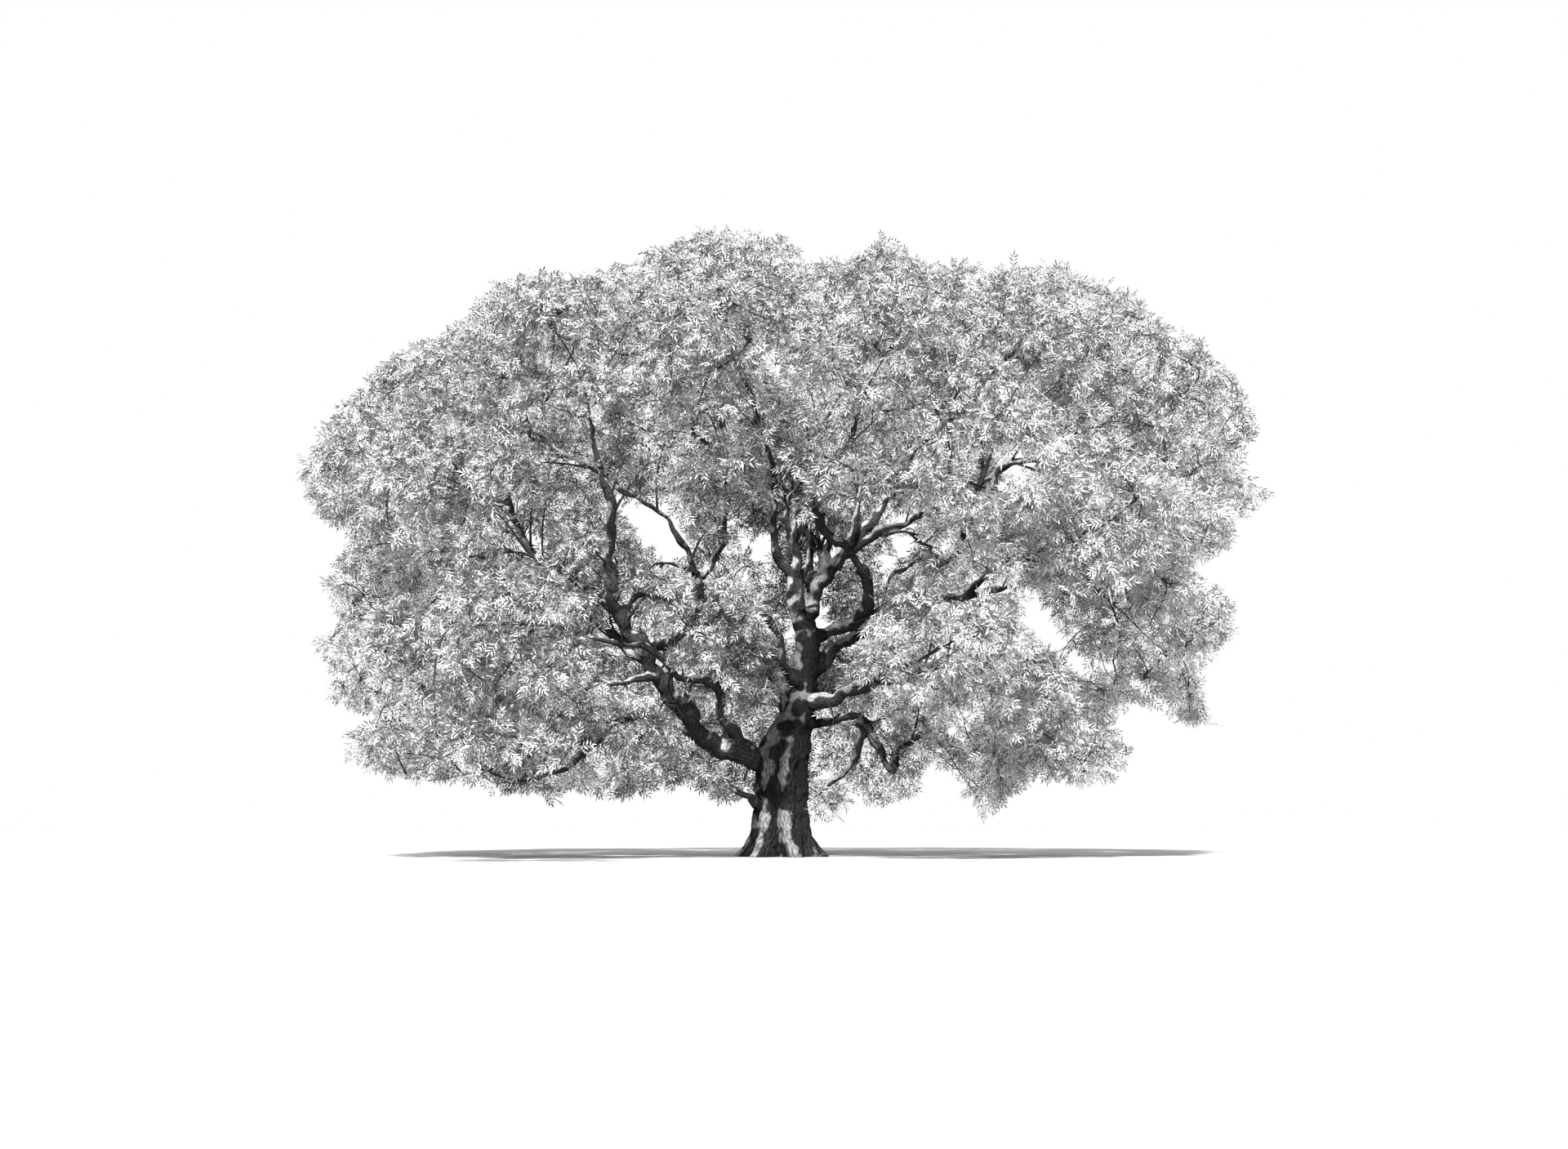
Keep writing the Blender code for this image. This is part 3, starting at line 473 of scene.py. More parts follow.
# The size, pace along, turns round and shift of the waves in the furrows.
FURROW_WAVES = ((1.1, 1.7, 2, 1), (0.8, 4.1, -1, 2))
FURROW_WARP = 3.5
FURROW_TURN = 1.7
CROSSING_SHIFT = (1.3, 2.3)
RIDGE_WIDTH = 1.7
RIDGE_ROUNDING = 0.7
RELIEF_MIDDLE = 0.65
FULL_GIRTH = 0.7
WARP_SIZE = 0.4
# Bark that faces this way, up and to the left towards the light, is painted pale: partly lichen and
# weathering, partly painted sunlight on the lit side.
SUN_AND_LICHEN_SIDE = Vector((-0.62, -0.30, 0.72)).normalized()
PAINTED_SUN_AND_LICHEN_BASE = 0.15
PAINTED_SUN_BY_SIDE = 1.1
LICHEN_BY_CHANCE = 0.9
FADE = 0.05
FADE_BY_GIRTH = 0.15
LUMP_SIZE = 0.45
LUMP_HEIGHT = 0.065
LUMP_REACH = 0.8
LEAST_LUMPS = 0.15
TRUNK_BORDER = 0.22
BARK_REACH = 1.6
FAR = 9.0
POINTS_AT_ONCE = 20000
FAMILIES = {
    "boughs_left": (
        "left", "left_inner", "left_crown", "left_arch", "left_reach", "left_side", "front_left",
        "bottom_left", "low_left", "front_left_inner", "left_cross", "left_lowest", "left_lit", "left_stub",
        "left_back", "leader_twin"),
    "boughs_right": (
        "right", "front_rising", "front_right_top", "front_right_side", "right_low", "front_right_low",
        "drooping", "elbow", "elbow_inner", "right_low_cross"),
}
FAMILIES["boughs_middle"] = [name for name in (*BOUGHS, *SIDE_LIMBS)
                             if name not in FAMILIES["boughs_left"] + FAMILIES["boughs_right"]]


def new_object(name, mesh):
    obj = bpy.data.objects.new(name, mesh)
    bpy.context.scene.collection.objects.link(obj)
    return obj


bmesh.ops.recalc_face_normals(wood, faces=wood.faces)
mesh = bpy.data.meshes.new("wood")
wood.to_mesh(mesh)
wood.free()
blank = new_object("wood", mesh)
join = blank.modifiers.new("join", "REMESH")
join.mode = "VOXEL"
join.voxel_size = GRAIN
ease = blank.modifiers.new("ease", "SMOOTH")
ease.factor = EASING
ease.iterations = EASING_ROUNDS
joined = bpy.data.meshes.new_from_object(blank.evaluated_get(bpy.context.evaluated_depsgraph_get()))
bpy.data.objects.remove(blank)


def taken_from(items, key):
    """The three values of each item, as rows."""
    values = np.empty(len(items) * 3, np.float32)
    items.foreach_get(key, values)
    return values.reshape(-1, 3).astype(float)


def clouds_at(places, size, octaves):
    return np.array([noise.fractal(Vector(place) / size, 1.0, 2.0, octaves) for place in places])


count = len(joined.vertices)
co = taken_from(joined.vertices, "co")
normals = taken_from(joined.vertex_normals, "vector")
warps = clouds_at(co, WARP_SIZE, 2)


def furrows(angle, along, radius, spacing, shift, warp):
    """The height of the bark between its furrows, from 0 in a furrow to 1 on a ridge."""
    strands = max(3, round(math.pi * radius / spacing))
    drift = sum(size * np.sin(pace * along + turns * angle + times * shift)
                for size, pace, turns, times in FURROW_WAVES) + FURROW_WARP * warp
    pitch = 2 * math.pi / FURROW_LENGTH
    crossing = CROSSING_SHIFT[0] * np.sin(CROSSING_SHIFT[1] * along + shift)
    rising = np.abs(np.sin(strands * angle + pitch * along + drift))
    falling = np.abs(np.sin(strands * angle - pitch * along + drift + crossing))
    return np.clip(RIDGE_WIDTH * np.minimum(rising, falling), 0, 1) ** RIDGE_ROUNDING


relief = np.zeros(count)
ridge = np.zeros(count)
weight = np.full(count, 1e-6)
trunk_gap = np.full(count, FAR)
nearest = np.full(count, FAR)
family_of = np.ones(count, int)
for number, (name, (route, radii, frames)) in enumerate(limbs.items()):
    line = np.array([list(point) for point in route])
    low, high = line.min(0) - radii.max() * BARK_REACH, line.max(0) + radii.max() * BARK_REACH
    near = np.nonzero(np.all((co > low) & (co < high), axis=1))[0]
    at = np.empty(len(near), int)
    for start in range(0, len(near), POINTS_AT_ONCE):
        part = co[near[start:start + POINTS_AT_ONCE]]
        at[start:start + POINTS_AT_ONCE] = ((part[:, None] - line[None]) ** 2).sum(2).argmin(1)
    offset = co[near] - line[at]
    tangent, side, across = (np.array([list(frame[j]) for frame in frames])[at] for j in range(3))
    angle = np.arctan2((offset * across).sum(1), (offset * side).sum(1))
    along = arc_lengths(route)[at] + (offset * tangent).sum(1)
    flat = offset - tangent * (offset * tangent).sum(1)[:, None]
    own_radius = radii[at]
    gap = np.abs(np.linalg.norm(flat, axis=1) - own_radius)
    beyond = np.linalg.norm(offset, axis=1) - own_radius
    spacing = FURROW_SPACING if name == "trunk" else BOUGH_FURROW_SPACING
    height = furrows(angle, along, float(np.median(radii)), spacing, FURROW_TURN * number, warps[near])
    depth = (FURROW_DEPTH * np.sqrt(np.minimum(own_radius, FULL_GIRTH) / FULL_GIRTH)
             * (own_radius / FULL_GIRTH) ** 0.25)
    share = np.exp(-((gap / (FADE + FADE_BY_GIRTH * own_radius)) ** 2))
    relief[near] += share * depth * (height - RELIEF_MIDDLE)
    ridge[near] += share * height
    weight[near] += share
    if name == "trunk":
        trunk_gap[near] = beyond
    closer = beyond < nearest[near]
    nearest[near[closer]] = beyond[closer]
    family_of[near[closer]] = sum(k * (name in members) for k, members in enumerate(FAMILIES.values(), 1))
lumps = clouds_at(co, LUMP_SIZE, 3)
girth = np.clip(1 - trunk_gap / LUMP_REACH, LEAST_LUMPS, 1)
co += normals * (relief / weight + lumps * LUMP_HEIGHT * girth)[:, None]
joined.vertices.foreach_set("co", co.astype(np.float32).ravel())
# Where the bark turns pale: painted sunlight on the side that faces the light, and lichen patches at random.
exposed = np.clip(PAINTED_SUN_AND_LICHEN_BASE + normals @ np.array(SUN_AND_LICHEN_SIDE) * PAINTED_SUN_BY_SIDE
                  + LICHEN_BY_CHANCE * warps, 0, 1)
zone = np.where(trunk_gap < TRUNK_BORDER, 0, family_of)
for name, kind, values in (("ridge", "FLOAT", (ridge / weight).astype(np.float32)),
                           ("exposed", "FLOAT", exposed.astype(np.float32)),
                           ("zone", "INT", zone.astype(np.int32))):
    joined.attributes.new(name, kind, "POINT").data.foreach_set("value", values)


class Wire:
    """A value in a material. A sum on wires adds its Math nodes."""

    def __init__(self, finish, socket):
        self.finish, self.socket = finish, socket

    def math(self, operation, first, second):
        return self.finish.node("ShaderNodeMath", {"operation": operation}, {0: first, 1: second})

    def __add__(self, other):
        return self.math("ADD", self, other)

    def __sub__(self, other):
        return self.math("SUBTRACT", self, other)

    def __rsub__(self, other):
        return self.math("SUBTRACT", other, self)

    def __mul__(self, other):
        return self.math("MULTIPLY", self, other)

    __radd__ = __add__
    __rmul__ = __mul__


class Finish:
    """A material in the making."""

    def __init__(self, name, roughness, shine):
        self.material = bpy.data.materials.new(name)
        self.material.use_nodes = True
        self.tree = self.material.node_tree
        self.surface = self.tree.nodes["Principled BSDF"]
        self.surface.inputs["Roughness"].default_value = roughness
        self.surface.inputs["Specular IOR Level"].default_value = shine

    def plug(self, socket, value):
        if isinstance(value, Wire):
            self.tree.links.new(value.socket, socket)
        else:
            socket.default_value = value

    def node(self, kind, settings, sockets, output=0):
        made = self.tree.nodes.new(kind)
        for key, value in settings.items():
            setattr(made, key, value)
        for key, value in sockets.items():
            self.plug(made.inputs[key], value)
        return Wire(self, made.outputs[output])

    def place(self):
        return self.node("ShaderNodeTexCoord", {}, {}, "Object")

    def speckle(self, scale, detail=3, roughness=0.55):
        """Clouds of noise that lie in the object, from about 0 to 1."""
        sockets = {"Vector": self.place(), "Scale": scale, "Detail": detail, "Roughness": roughness}
        return self.node("ShaderNodeTexNoise", {}, sockets, "Fac")

    def between(self, value, low, high):
        """0 below low and 1 above high."""
        return self.node("ShaderNodeMapRange", {"interpolation_type": "SMOOTHSTEP"},
                         {"Value": value, "From Min": low, "From Max": high})

    def blend(self, share, first, second):
        first = first if isinstance(first, Wire) else (first, first, first, 1)
        second = second if isinstance(second, Wire) else (second, second, second, 1)
        return self.node("ShaderNodeMix", {"data_type": "RGBA"}, {0: share, 6: first, 7: second}, 2)

    def emboss(self, height, distance, strength=1.0):
        bump = self.node("ShaderNodeBump", {}, {"Height": height, "Distance": distance, "Strength": strength})
        self.plug(self.surface.inputs["Normal"], bump)

    def colour(self, value):
        self.plug(self.surface.inputs["Base Color"], value)


def bark_finish(name, furrow, ridge_tone, sunlit_and_lichen_tone, spread):
    """Dark furrows between ridges, pale with lichen in patches and with painted sunlight on the lit side."""
    finish = Finish(name, roughness=0.9, shine=0.0)
    height = finish.node("ShaderNodeAttribute", {"attribute_name": "ridge"}, {}, "Fac")
    exposed = finish.node("ShaderNodeAttribute", {"attribute_name": "exposed"}, {}, "Fac")
    grain = finish.speckle(scale=22, detail=6, roughness=0.7)
    clouds = finish.speckle(scale=1.6, detail=4, roughness=0.6)
    ridges = finish.between(height + 0.7 * grain, low=0.5, high=1.3)
    bark = finish.blend(ridges, furrow, ridge_tone)
    # Painted sunlight on the side facing the light, with lichen patches at random, makes the bark pale here.
    sunlit_and_lichen_share = finish.between(exposed + 0.9 * clouds + 0.35 * grain, low=1.25 - spread, high=1.75 - spread)
    finish.colour(finish.blend(sunlit_and_lichen_share * (0.25 + 0.75 * ridges), bark, sunlit_and_lichen_tone))
    finish.emboss(0.5 * height + 0.5 * grain, distance=0.02, strength=0.9)
    return finish.material


def part_of_wood(name, number, material):
    """The stretch of the joined wood in one zone, closed where it is parted from the rest."""
    shape = bmesh.new()
    shape.from_mesh(joined)
    bmesh.ops.bisect_plane(shape, geom=[*shape.verts, *shape.edges, *shape.faces], plane_co=(0, 0, 0),
                           plane_no=(0, 0, 1), clear_inner=True)
    layer = shape.verts.layers.int["zone"]
    others = [face for face in shape.faces if max(vert[layer] for vert in face.verts) != number]
    bmesh.ops.delete(shape, geom=others, context="FACES")
    rim = [edge for edge in shape.edges if edge.is_boundary]
    caps = bmesh.ops.holes_fill(shape, edges=rim, sides=0)["faces"]
    bmesh.ops.triangulate(shape, faces=caps)
    piece_mesh = bpy.data.meshes.new(name)
    shape.to_mesh(piece_mesh)
    shape.free()
    piece_mesh.materials.clear()
    piece_mesh.materials.append(material)
    piece_mesh.shade_smooth()
    piece = new_object(name, piece_mesh)
    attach(piece, "root")
    return piece


# The pale tone is that of lichen and of painted sunlight on the side facing the light.
trunk_bark = bark_finish("old trunk bark", furrow=0.004, ridge_tone=0.014, sunlit_and_lichen_tone=0.165, spread=0.0)
trunk = part_of_wood("bark_trunk", 0, trunk_bark)
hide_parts("trunk")
bough_bark = bark_finish("bough bark", furrow=0.007, ridge_tone=0.034, sunlit_and_lichen_tone=0.30, spread=0.14)
for number, (name, members) in enumerate(FAMILIES.items(), 1):
    boughs = part_of_wood(name, number, bough_bark)
    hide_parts(*[f"bough_{member}" for member in members if member in BOUGHS])

# Finer branches of young wood carry the crown on from the boughs, forking again and again towards the light
# until they end in clumps of foliage under its outer face. They keep within the dome of the crown and out
# of its openings to the sky, and the twigs and leaves at their ends keep clear of the limbs and sunlit bark
# that show from outside.
EYE_HEIGHT = 0.75
EYE_DISTANCE = 48.0
# The crown's edges as the eye sees them: the top and foot by place across, the sides by height.
CROWN_TOP = (
    (-14.0, 11.6), (-13.7, 12.6), (-12.6, 13.5), (-11.7, 14.5), (-11.1, 14.9), (-10.2, 15.1), (-9.3, 15.9),
    (-8.8, 16.8), (-8.0, 17.0), (-7.4, 17.3), (-6.4, 17.1), (-5.0, 17.3), (-4.1, 17.8), (-3.2, 18.3),
    (-2.2, 18.5), (-0.4, 18.4), (0.3, 18.1), (0.9, 17.6), (2.5, 17.7), (3.1, 18.5), (3.8, 18.0),
    (4.3, 17.3), (5.5, 17.6), (7.2, 17.8), (8.4, 17.5), (9.0, 17.1), (10.3, 16.9), (10.9, 15.9),
    (12.3, 15.15), (13.4, 14.1), (13.9, 12.7), (14.4, 11.2),
)
CROWN_FOOT = (
    (-13.6, 5.9), (-13.0, 4.2), (-12.6, 2.6), (-11.1, 2.3), (-9.7, 2.2), (-8.3, 1.85), (-6.4, 1.5),
    (-5.6, 1.9), (-5.0, 1.4), (-4.1, 1.6), (-2.6, 2.15), (-2.1, 1.6), (-1.3, 1.5), (1.0, 1.0), (1.9, 1.1),
    (2.1, 1.85), (2.5, 1.4), (3.0, 1.2), (3.15, 1.7), (3.8, 1.5), (4.05, 2.6), (4.6, 2.5), (5.1, 2.1),
    (5.15, 1.15), (6.3, 1.1), (6.35, 1.7), (7.3, 2.1), (8.8, 2.0), (9.7, 2.1), (9.95, 2.6), (10.1, 4.3),
    (11.0, 4.0), (11.4, 3.4), (12.5, 3.5), (12.7, 5.2), (13.3, 7.0), (13.9, 9.9),
)
CROWN_LEFT = (
    (2.5, -12.3), (3.4, -12.5), (3.9, -11.5), (4.4, -12.9), (5.3, -13.0), (6.2, -13.5), (6.7, -12.7),
    (7.7, -13.3), (8.6, -12.9), (9.1, -12.4), (9.6, -13.2), (10.4, -14.0), (11.2, -14.1), (12.5, -13.8),
    (13.0, -13.1),
)
CROWN_RIGHT = (
    (2.0, 9.8), (3.3, 9.9), (3.6, 12.6), (4.3, 12.1), (5.2, 11.9), (5.7, 12.4), (6.2, 12.9), (7.2, 13.1),
    (7.7, 12.8), (8.2, 11.7), (8.7, 12.6), (9.1, 13.3), (9.6, 13.0), (10.2, 14.2), (10.7, 14.3),
    (11.0, 13.6), (11.6, 13.5), (12.3, 14.0), (13.3, 13.7),
)
# Openings to the sky: the middle across and up, the half sizes and the tilt.
SKY_GAPS = (
    (-3.62, 9.4, 1.1, 0.42, -41), (-0.55, 8.85, 0.46, 0.36, 0), (3.5, 9.7, 0.32, 0.24, 0),
    (3.55, 8.95, 0.3, 0.34, 0), (3.1, 8.4, 0.28, 0.18, 0), (0.3, 6.3, 0.1, 0.42, 0),
    (1.18, 6.75, 0.17, 0.3, 0), (1.3, 8.65, 0.22, 0.22, 0), (5.35, 11.85, 0.15, 0.1, 0),
    (6.3, 11.6, 0.15, 0.1, 0), (7.0, 11.0, 0.5, 0.12, 0), (5.7, 7.8, 0.22, 0.15, 0),
    (6.3, 7.72, 0.32, 0.13, -12), (7.4, 6.72, 0.9, 0.32, -52), (8.55, 5.45, 0.42, 0.26, -45),
    (10.1, 3.75, 0.55, 0.6, 0), (-7.3, 9.05, 0.4, 0.07, 0), (1.02, 3.15, 0.14, 0.3, 0),
    (9.2, 10.3, 0.15, 0.1, 0), (4.7, 8.95, 0.14, 0.12, 0),
)
# The stretch of each limb that no foliage hides, as shares of its length.
OPEN_LIMBS = {
    "trunk": (0.0, 1.0), "left": (0.04, 0.9), "left_inner": (0.0, 0.6), "left_crown": (0.3, 0.5),
    "left_arch": (0.2, 0.8), "centre_left": (0.0, 0.5), "centre": (0.0, 0.4), "right_up": (0.0, 0.58),
    "right_shoulder": (0.62, 0.75), "right": (0.55, 0.66), "front_rising": (0.1, 0.7),
    "right_low": (0.0, 0.42), "drooping": (0.0, 1.0), "low_left": (0.0, 0.75), "left_reach": (0.45, 0.9),
    "left_cross": (0.1, 0.9), "left_lit": (0.2, 1.0), "left_stub": (0.0, 0.7), "left_back": (0.1, 0.8),
    "elbow": (0.0, 0.9), "elbow_inner": (0.0, 0.8), "leader_twin": (0.0, 0.75), "upright_left": (0.0, 0.8),
    "upright_short": (0.0, 0.45), "upright_right": (0.0, 0.4), "right_twin": (0.0, 0.7),
    "right_cross": (0.0, 1.0), "right_low_cross": (0.3, 1.0), "right_stem": (0.3, 0.8),
    "right_lit": (0.3, 1.0),
}
CLEARANCE = (0.0, 0.22)
SIGHT_DEPTH = 0.15
SIGHTS_AT_ONCE = 4000
SUN_FROM = Vector((-0.10, -0.74, 0.66)).normalized()
SHAFT_ROOM = 0.1
SHAFT_START = 0.3
# Where the sun reaches the wood, and how wide each shaft of light is.
SUN_FLECKS = (
    (-0.55, -0.5, 0.6, 0.26), (-0.5, -0.5, 1.05, 0.22), (0.45, -0.65, 0.35, 0.08), (0.5, -0.4, 4.7, 0.18),
    (0.6, -0.35, 6.3, 0.22), (0.5, -0.35, 6.8, 0.2), (0.25, -0.35, 7.6, 0.2), (0.2, -0.5, 8.0, 0.15),
    (0.35, -0.6, 8.75, 0.16), (0.9, 0.1, 8.6, 0.14), (0.15, -0.8, 9.9, 0.16), (-0.15, -1.0, 10.7, 0.18),
    (2.0, 0.5, 8.9, 0.22), (2.3, 0.5, 9.4, 0.3), (2.7, 0.5, 9.9, 0.3), (3.1, 0.5, 10.4, 0.25),
    (2.35, 0.0, 10.2, 0.2), (1.5, -0.8, 4.55, 0.18), (2.1, -1.0, 4.75, 0.14), (-3.2, -2.0, 4.5, 0.18),
    (-2.7, -1.5, 3.9, 0.12), (-3.9, -2.6, 5.7, 0.18), (-2.7, -1.4, 6.3, 0.2), (-4.6, -3.8, 9.3, 0.2),
    (-2.1, -1.0, 8.2, 0.18), (2.3, -0.8, 8.2, 0.12), (5.6, 0.4, 7.7, 0.25), (6.9, 0.1, 7.7, 0.2),
    (0.55, -0.3, 5.3, 0.16),
)


def seen(points):
    """Where points show to a viewer on the side of -Y, as if all stood at the depth of the trunk."""
    share = EYE_DISTANCE / (EYE_DISTANCE + points[:, 1])
    return points[:, 0] * share, EYE_HEIGHT + (points[:, 2] - EYE_HEIGHT) * share


def inside_crown(points, room):
    """Whether points lie within the crown's outline by at least room, and out of its sky gaps."""
    across, up = seen(points)
    fits = up < np.interp(across, *zip(*CROWN_TOP)) - room
    fits &= up > np.interp(across, *zip(*CROWN_FOOT)) + room
    fits &= across > np.interp(up, *zip(*CROWN_LEFT)) + room
    fits &= across < np.interp(up, *zip(*CROWN_RIGHT)) - room
    for middle_across, middle_up, half_across, half_up, tilt in SKY_GAPS:
        turn = math.radians(tilt)
        a, b = across - middle_across, up - middle_up
        along = (a * math.cos(turn) + b * math.sin(turn)) / (half_across + room)
        aside = (b * math.cos(turn) - a * math.sin(turn)) / (half_up + room)
        fits &= along**2 + aside**2 > 1
    return fits


sights = []
for name, (begin, end) in OPEN_LIMBS.items():
    route, radii, _ = limbs[name]
    for k in range(int(begin * (len(route) - 1)), int(end * (len(route) - 1)) + 1):
        sights.append([*route[k], radii[k]])
sights = np.array(sights)
sight_across, sight_up = seen(sights)


def in_front_of_limbs(points, room):
    """Whether points would hide the stretches of limbs that the foliage leaves open to view."""
    hides = []
    parts = len(points) // SIGHTS_AT_ONCE + 1
    for part, part_room in zip(np.array_split(points, parts), np.array_split(room, parts)):
        across, up = seen(part)
        aside = np.hypot(across[:, None] - sight_across, up[:, None] - sight_up)
        over = aside - sights[:, 3] - part_room[:, None] < 0
        hides.append((over & (part[:, 1:2] < sights[:, 1] + SIGHT_DEPTH)).any(1))
    return np.concatenate(hides)


def in_sun_shafts(points, room):
    """Whether points stand in the shafts through which the sun reaches the trunk and boughs."""
    hit = np.zeros(len(points), bool)
    for x, y, z, radius in SUN_FLECKS:
        offset = points - np.array((x, y, z))
        along = offset @ np.array(SUN_FROM)
        aside = np.linalg.norm(offset - along[:, None] * np.array(SUN_FROM), axis=1)
        hit |= (aside < radius + room) & (along > SHAFT_START)
    return hit


# The clumps of foliage at which branches will end lie in two layers, one evenly under the outer face of each
# mass and a thinner one inside it.
CLUMP_REACH = 0.92
CLUMP_DIRECTIONS = 130
# The depth, spacing and fullness of each layer.
CLUMP_LAYERS = ((1.0, 0.98, 1.0), (0.62, 1.25, 0.6))
CLUMP_DEPTHS = (0.9, 1.02)
CLUMP_SCATTER = (0.85, 1.15)
LEAST_DEPTH = 0.1
WALL_ROOM = 0.3
INWARD_LIMIT = -0.35
RIM_ROOM = 0.3
GOLDEN_ANGLE = math.pi * (3 - math.sqrt(5))


def even_way(index, count, turn):
    """One of count directions spread evenly over a ball."""
    height = 1 - 2 * (index + 0.5) / count
    around = math.sqrt(1 - height * height)
    angle = GOLDEN_ANGLE * index + turn
    return Vector((around * math.cos(angle), around * math.sin(angle), height))


class Clumps:
    """The clumps of foliage placed so far, each with the mass that it belongs to and its fullness."""

    def __init__(self):
        self.places, self.owners, self.fullness = np.empty((0, 3)), [], []

    def add(self, owner, place, spacing, fullness, room):
        """One more, unless it stands too near another or too near the crown's edge."""
        gaps = np.linalg.norm(self.places - np.array(place), axis=1)
        if (len(gaps) and gaps.min() < spacing) or not inside_crown(np.array([place]), room)[0]:
            return
        self.places = np.vstack([self.places, np.array(place)])
        self.owners.append(owner)
        self.fullness.append(fullness)

    def of(self, owner):
        chosen = [k for k, name in enumerate(self.owners) if name == owner]
        return self.places[chosen], [self.fullness[k] for k in chosen]


clumps = Clumps()
for depth, spacing, fullness in CLUMP_LAYERS:
    for name, space in spaces.items():
        chance = random.Random(f"{SEED} clumps {name} {depth}")
        turn = chance.uniform(0, 2 * math.pi)
        for index in range(CLUMP_DIRECTIONS):
            way = even_way(index, CLUMP_DIRECTIONS, turn)
            if way.dot(space.out) < INWARD_LIMIT:
                continue
            room = min(space.shell_reach(space.middle, way) - CLUMP_REACH,
                       space.wall_reach(space.middle, way) - WALL_ROOM)
            middle = space.middle + way * max(room, LEAST_DEPTH) * depth * chance.uniform(*CLUMP_DEPTHS)
            clumps.add(name, middle, spacing * chance.uniform(*CLUMP_SCATTER), fullness, RIM_ROOM)

# Saddles of foliage fill the hollows between a mass in front, in the middle and at the back.
NEIGHBOUR_DEPTH = 3.0
SADDLE_SIZE = 0.96
SADDLE_LIMIT = 0.3
SADDLE_SPACING = (0.95, 1.15)
for name, space in spaces.items():
    for other in spaces.values():
        between = other.middle - space.middle
        way = between.normalized()
        if between.y < NEIGHBOUR_DEPTH or between.length > space.support(way) + other.support(way):
            continue
        saddle = Space((space.middle + other.middle) / 2, (space.half + other.half) / 2 * SADDLE_SIZE)
        chance = random.Random(f"{SEED} saddle {name} {other.middle}")
        turn = chance.uniform(0, 2 * math.pi)
        for index in range(CLUMP_DIRECTIONS):
            way = even_way(index, CLUMP_DIRECTIONS, turn)
            if way.dot(saddle.out) > SADDLE_LIMIT:
                middle = saddle.middle + way * (saddle.shell_reach(saddle.middle, way) - CLUMP_REACH)
                clumps.add(name, middle, chance.uniform(*SADDLE_SPACING), fullness=0.8, room=RIM_ROOM)

# Veils of foliage hang where the eye sees them, and more clumps stand wherever the crown would look thin.
VEIL_STEP = 0.72
VEIL_SCATTER = 0.3
# The left, right, low and high edge of each veil as the eye sees it, and how far back it hangs.
VEILS = (
    (0.9, 4.2, 10.1, 11.4, -3.4), (-2.3, -1.0, 1.5, 2.4, -1.6), (1.2, 2.3, 1.3, 2.6, -0.6),
    (-1.9, -0.2, 4.4, 7.2, -2.2), (8.2, 9.8, 5.6, 7.0, 0.4), (1.6, 3.0, 6.0, 7.4, 1.6),
    (0.6, 2.8, 9.9, 11.6, -7.0), (-2.6, -0.6, 10.6, 12.0, -6.6), (5.3, 6.4, 1.5, 2.8, -1.8),
    (11.5, 12.5, 3.9, 4.6, -1.0), (8.7, 9.7, 2.4, 3.0, -1.4), (5.2, 5.9, 8.2, 8.8, 1.5),
    (-2.2, -0.2, 11.7, 14.8, -7.4), (4.6, 7.6, 7.2, 8.9, -2.6), (-6.2, -5.2, 5.1, 5.9, -1.0),
    (1.3, 1.9, 2.5, 3.4, 1.4), (-13.2, -12.2, 2.7, 3.6, -0.8), (-2.4, -1.2, 1.8, 2.4, -1.2),
    (4.9, 9.4, 8.1, 9.9, -6.8), (-9.6, -5.8, 2.5, 3.8, -8.4),
)
THIN_ACROSS = np.arange(-13.4, 13.6, 0.65)
THIN_UP = np.arange(1.3, 17.6, 0.65)
THIN_DEPTH = (0.8, 3.2)
THIN_REACH = 0.85
THIN_COUNT = 4


def at_depth(across, up, depth):
    """The place at a depth that shows at across and up."""
    share = 1 + depth / EYE_DISTANCE
    return Vector((across * share, depth, EYE_HEIGHT + (up - EYE_HEIGHT) * share))


chance = random.Random(f"{SEED} veils and thin places")
for left, right, low, high, depth in VEILS:
    for across in np.arange(left, right, VEIL_STEP):
        for up in np.arange(low, high, VEIL_STEP):
            shift, lift, push = (chance.uniform(-VEIL_SCATTER, VEIL_SCATTER) for _ in range(3))
            place = at_depth(across + shift, up + lift, depth + 2 * push)
            clumps.add("inner", place, spacing=0.6, fullness=0.8, room=0.15)
for across in THIN_ACROSS:
    for up in THIN_UP:
        spot = [value + chance.uniform(-VEIL_SCATTER, VEIL_SCATTER) for value in (across, up)]
        place = at_depth(*spot, chance.uniform(*THIN_DEPTH))
        shown_across, shown_up = seen(clumps.places)
        if (np.hypot(shown_across - spot[0], shown_up - spot[1]) < THIN_REACH).sum() < THIN_COUNT:
            clumps.add("inner", place, spacing=0.7, fullness=0.7, room=0.2)

# A leader carries each bough on through its masses. Branches fork from it, from the limbs and from one
# another, each from where the least effort takes it to its clump, and are thicker the more they carry.
BRANCH_RINGS = 6
BRANCH_SIDES = 6
BRANCH_TIP = 0.011
BRANCH_GROWTH = 0.0105
BRANCH_POWER = 0.6
BRANCH_SWAY = 0.10
BRANCH_RISE = 0.10
BRANCH_RUN = 0.38
BEND_EFFORT = 0.45
REACH_EFFORT = 0.12
WAYS_TRIED = 12
BRANCH_ROOM = 0.15
LEADER_STEP = 0.3
LEADER_SIDES = 8
LEADER_ENDS = (0.72, 0.55, 0.4, 0.25, 0.1)
LEADER_ROOM = 0.5
LEADER_OVERLAP = 0.25
LEADER_OUTWARD = 0.7
LEADER_BEND = 0.5
LEADER_FOOT = 0.45
LEADER_SHARE = 0.40
LEADER_TIP = 0.014
THICKEST_SHARE = 0.6
INNER_THICKEST = 0.05
INNER_OUT = Vector((0, -0.5, 0.7))
INNER_FORKS = slice(4, None, 3)
tips = {}
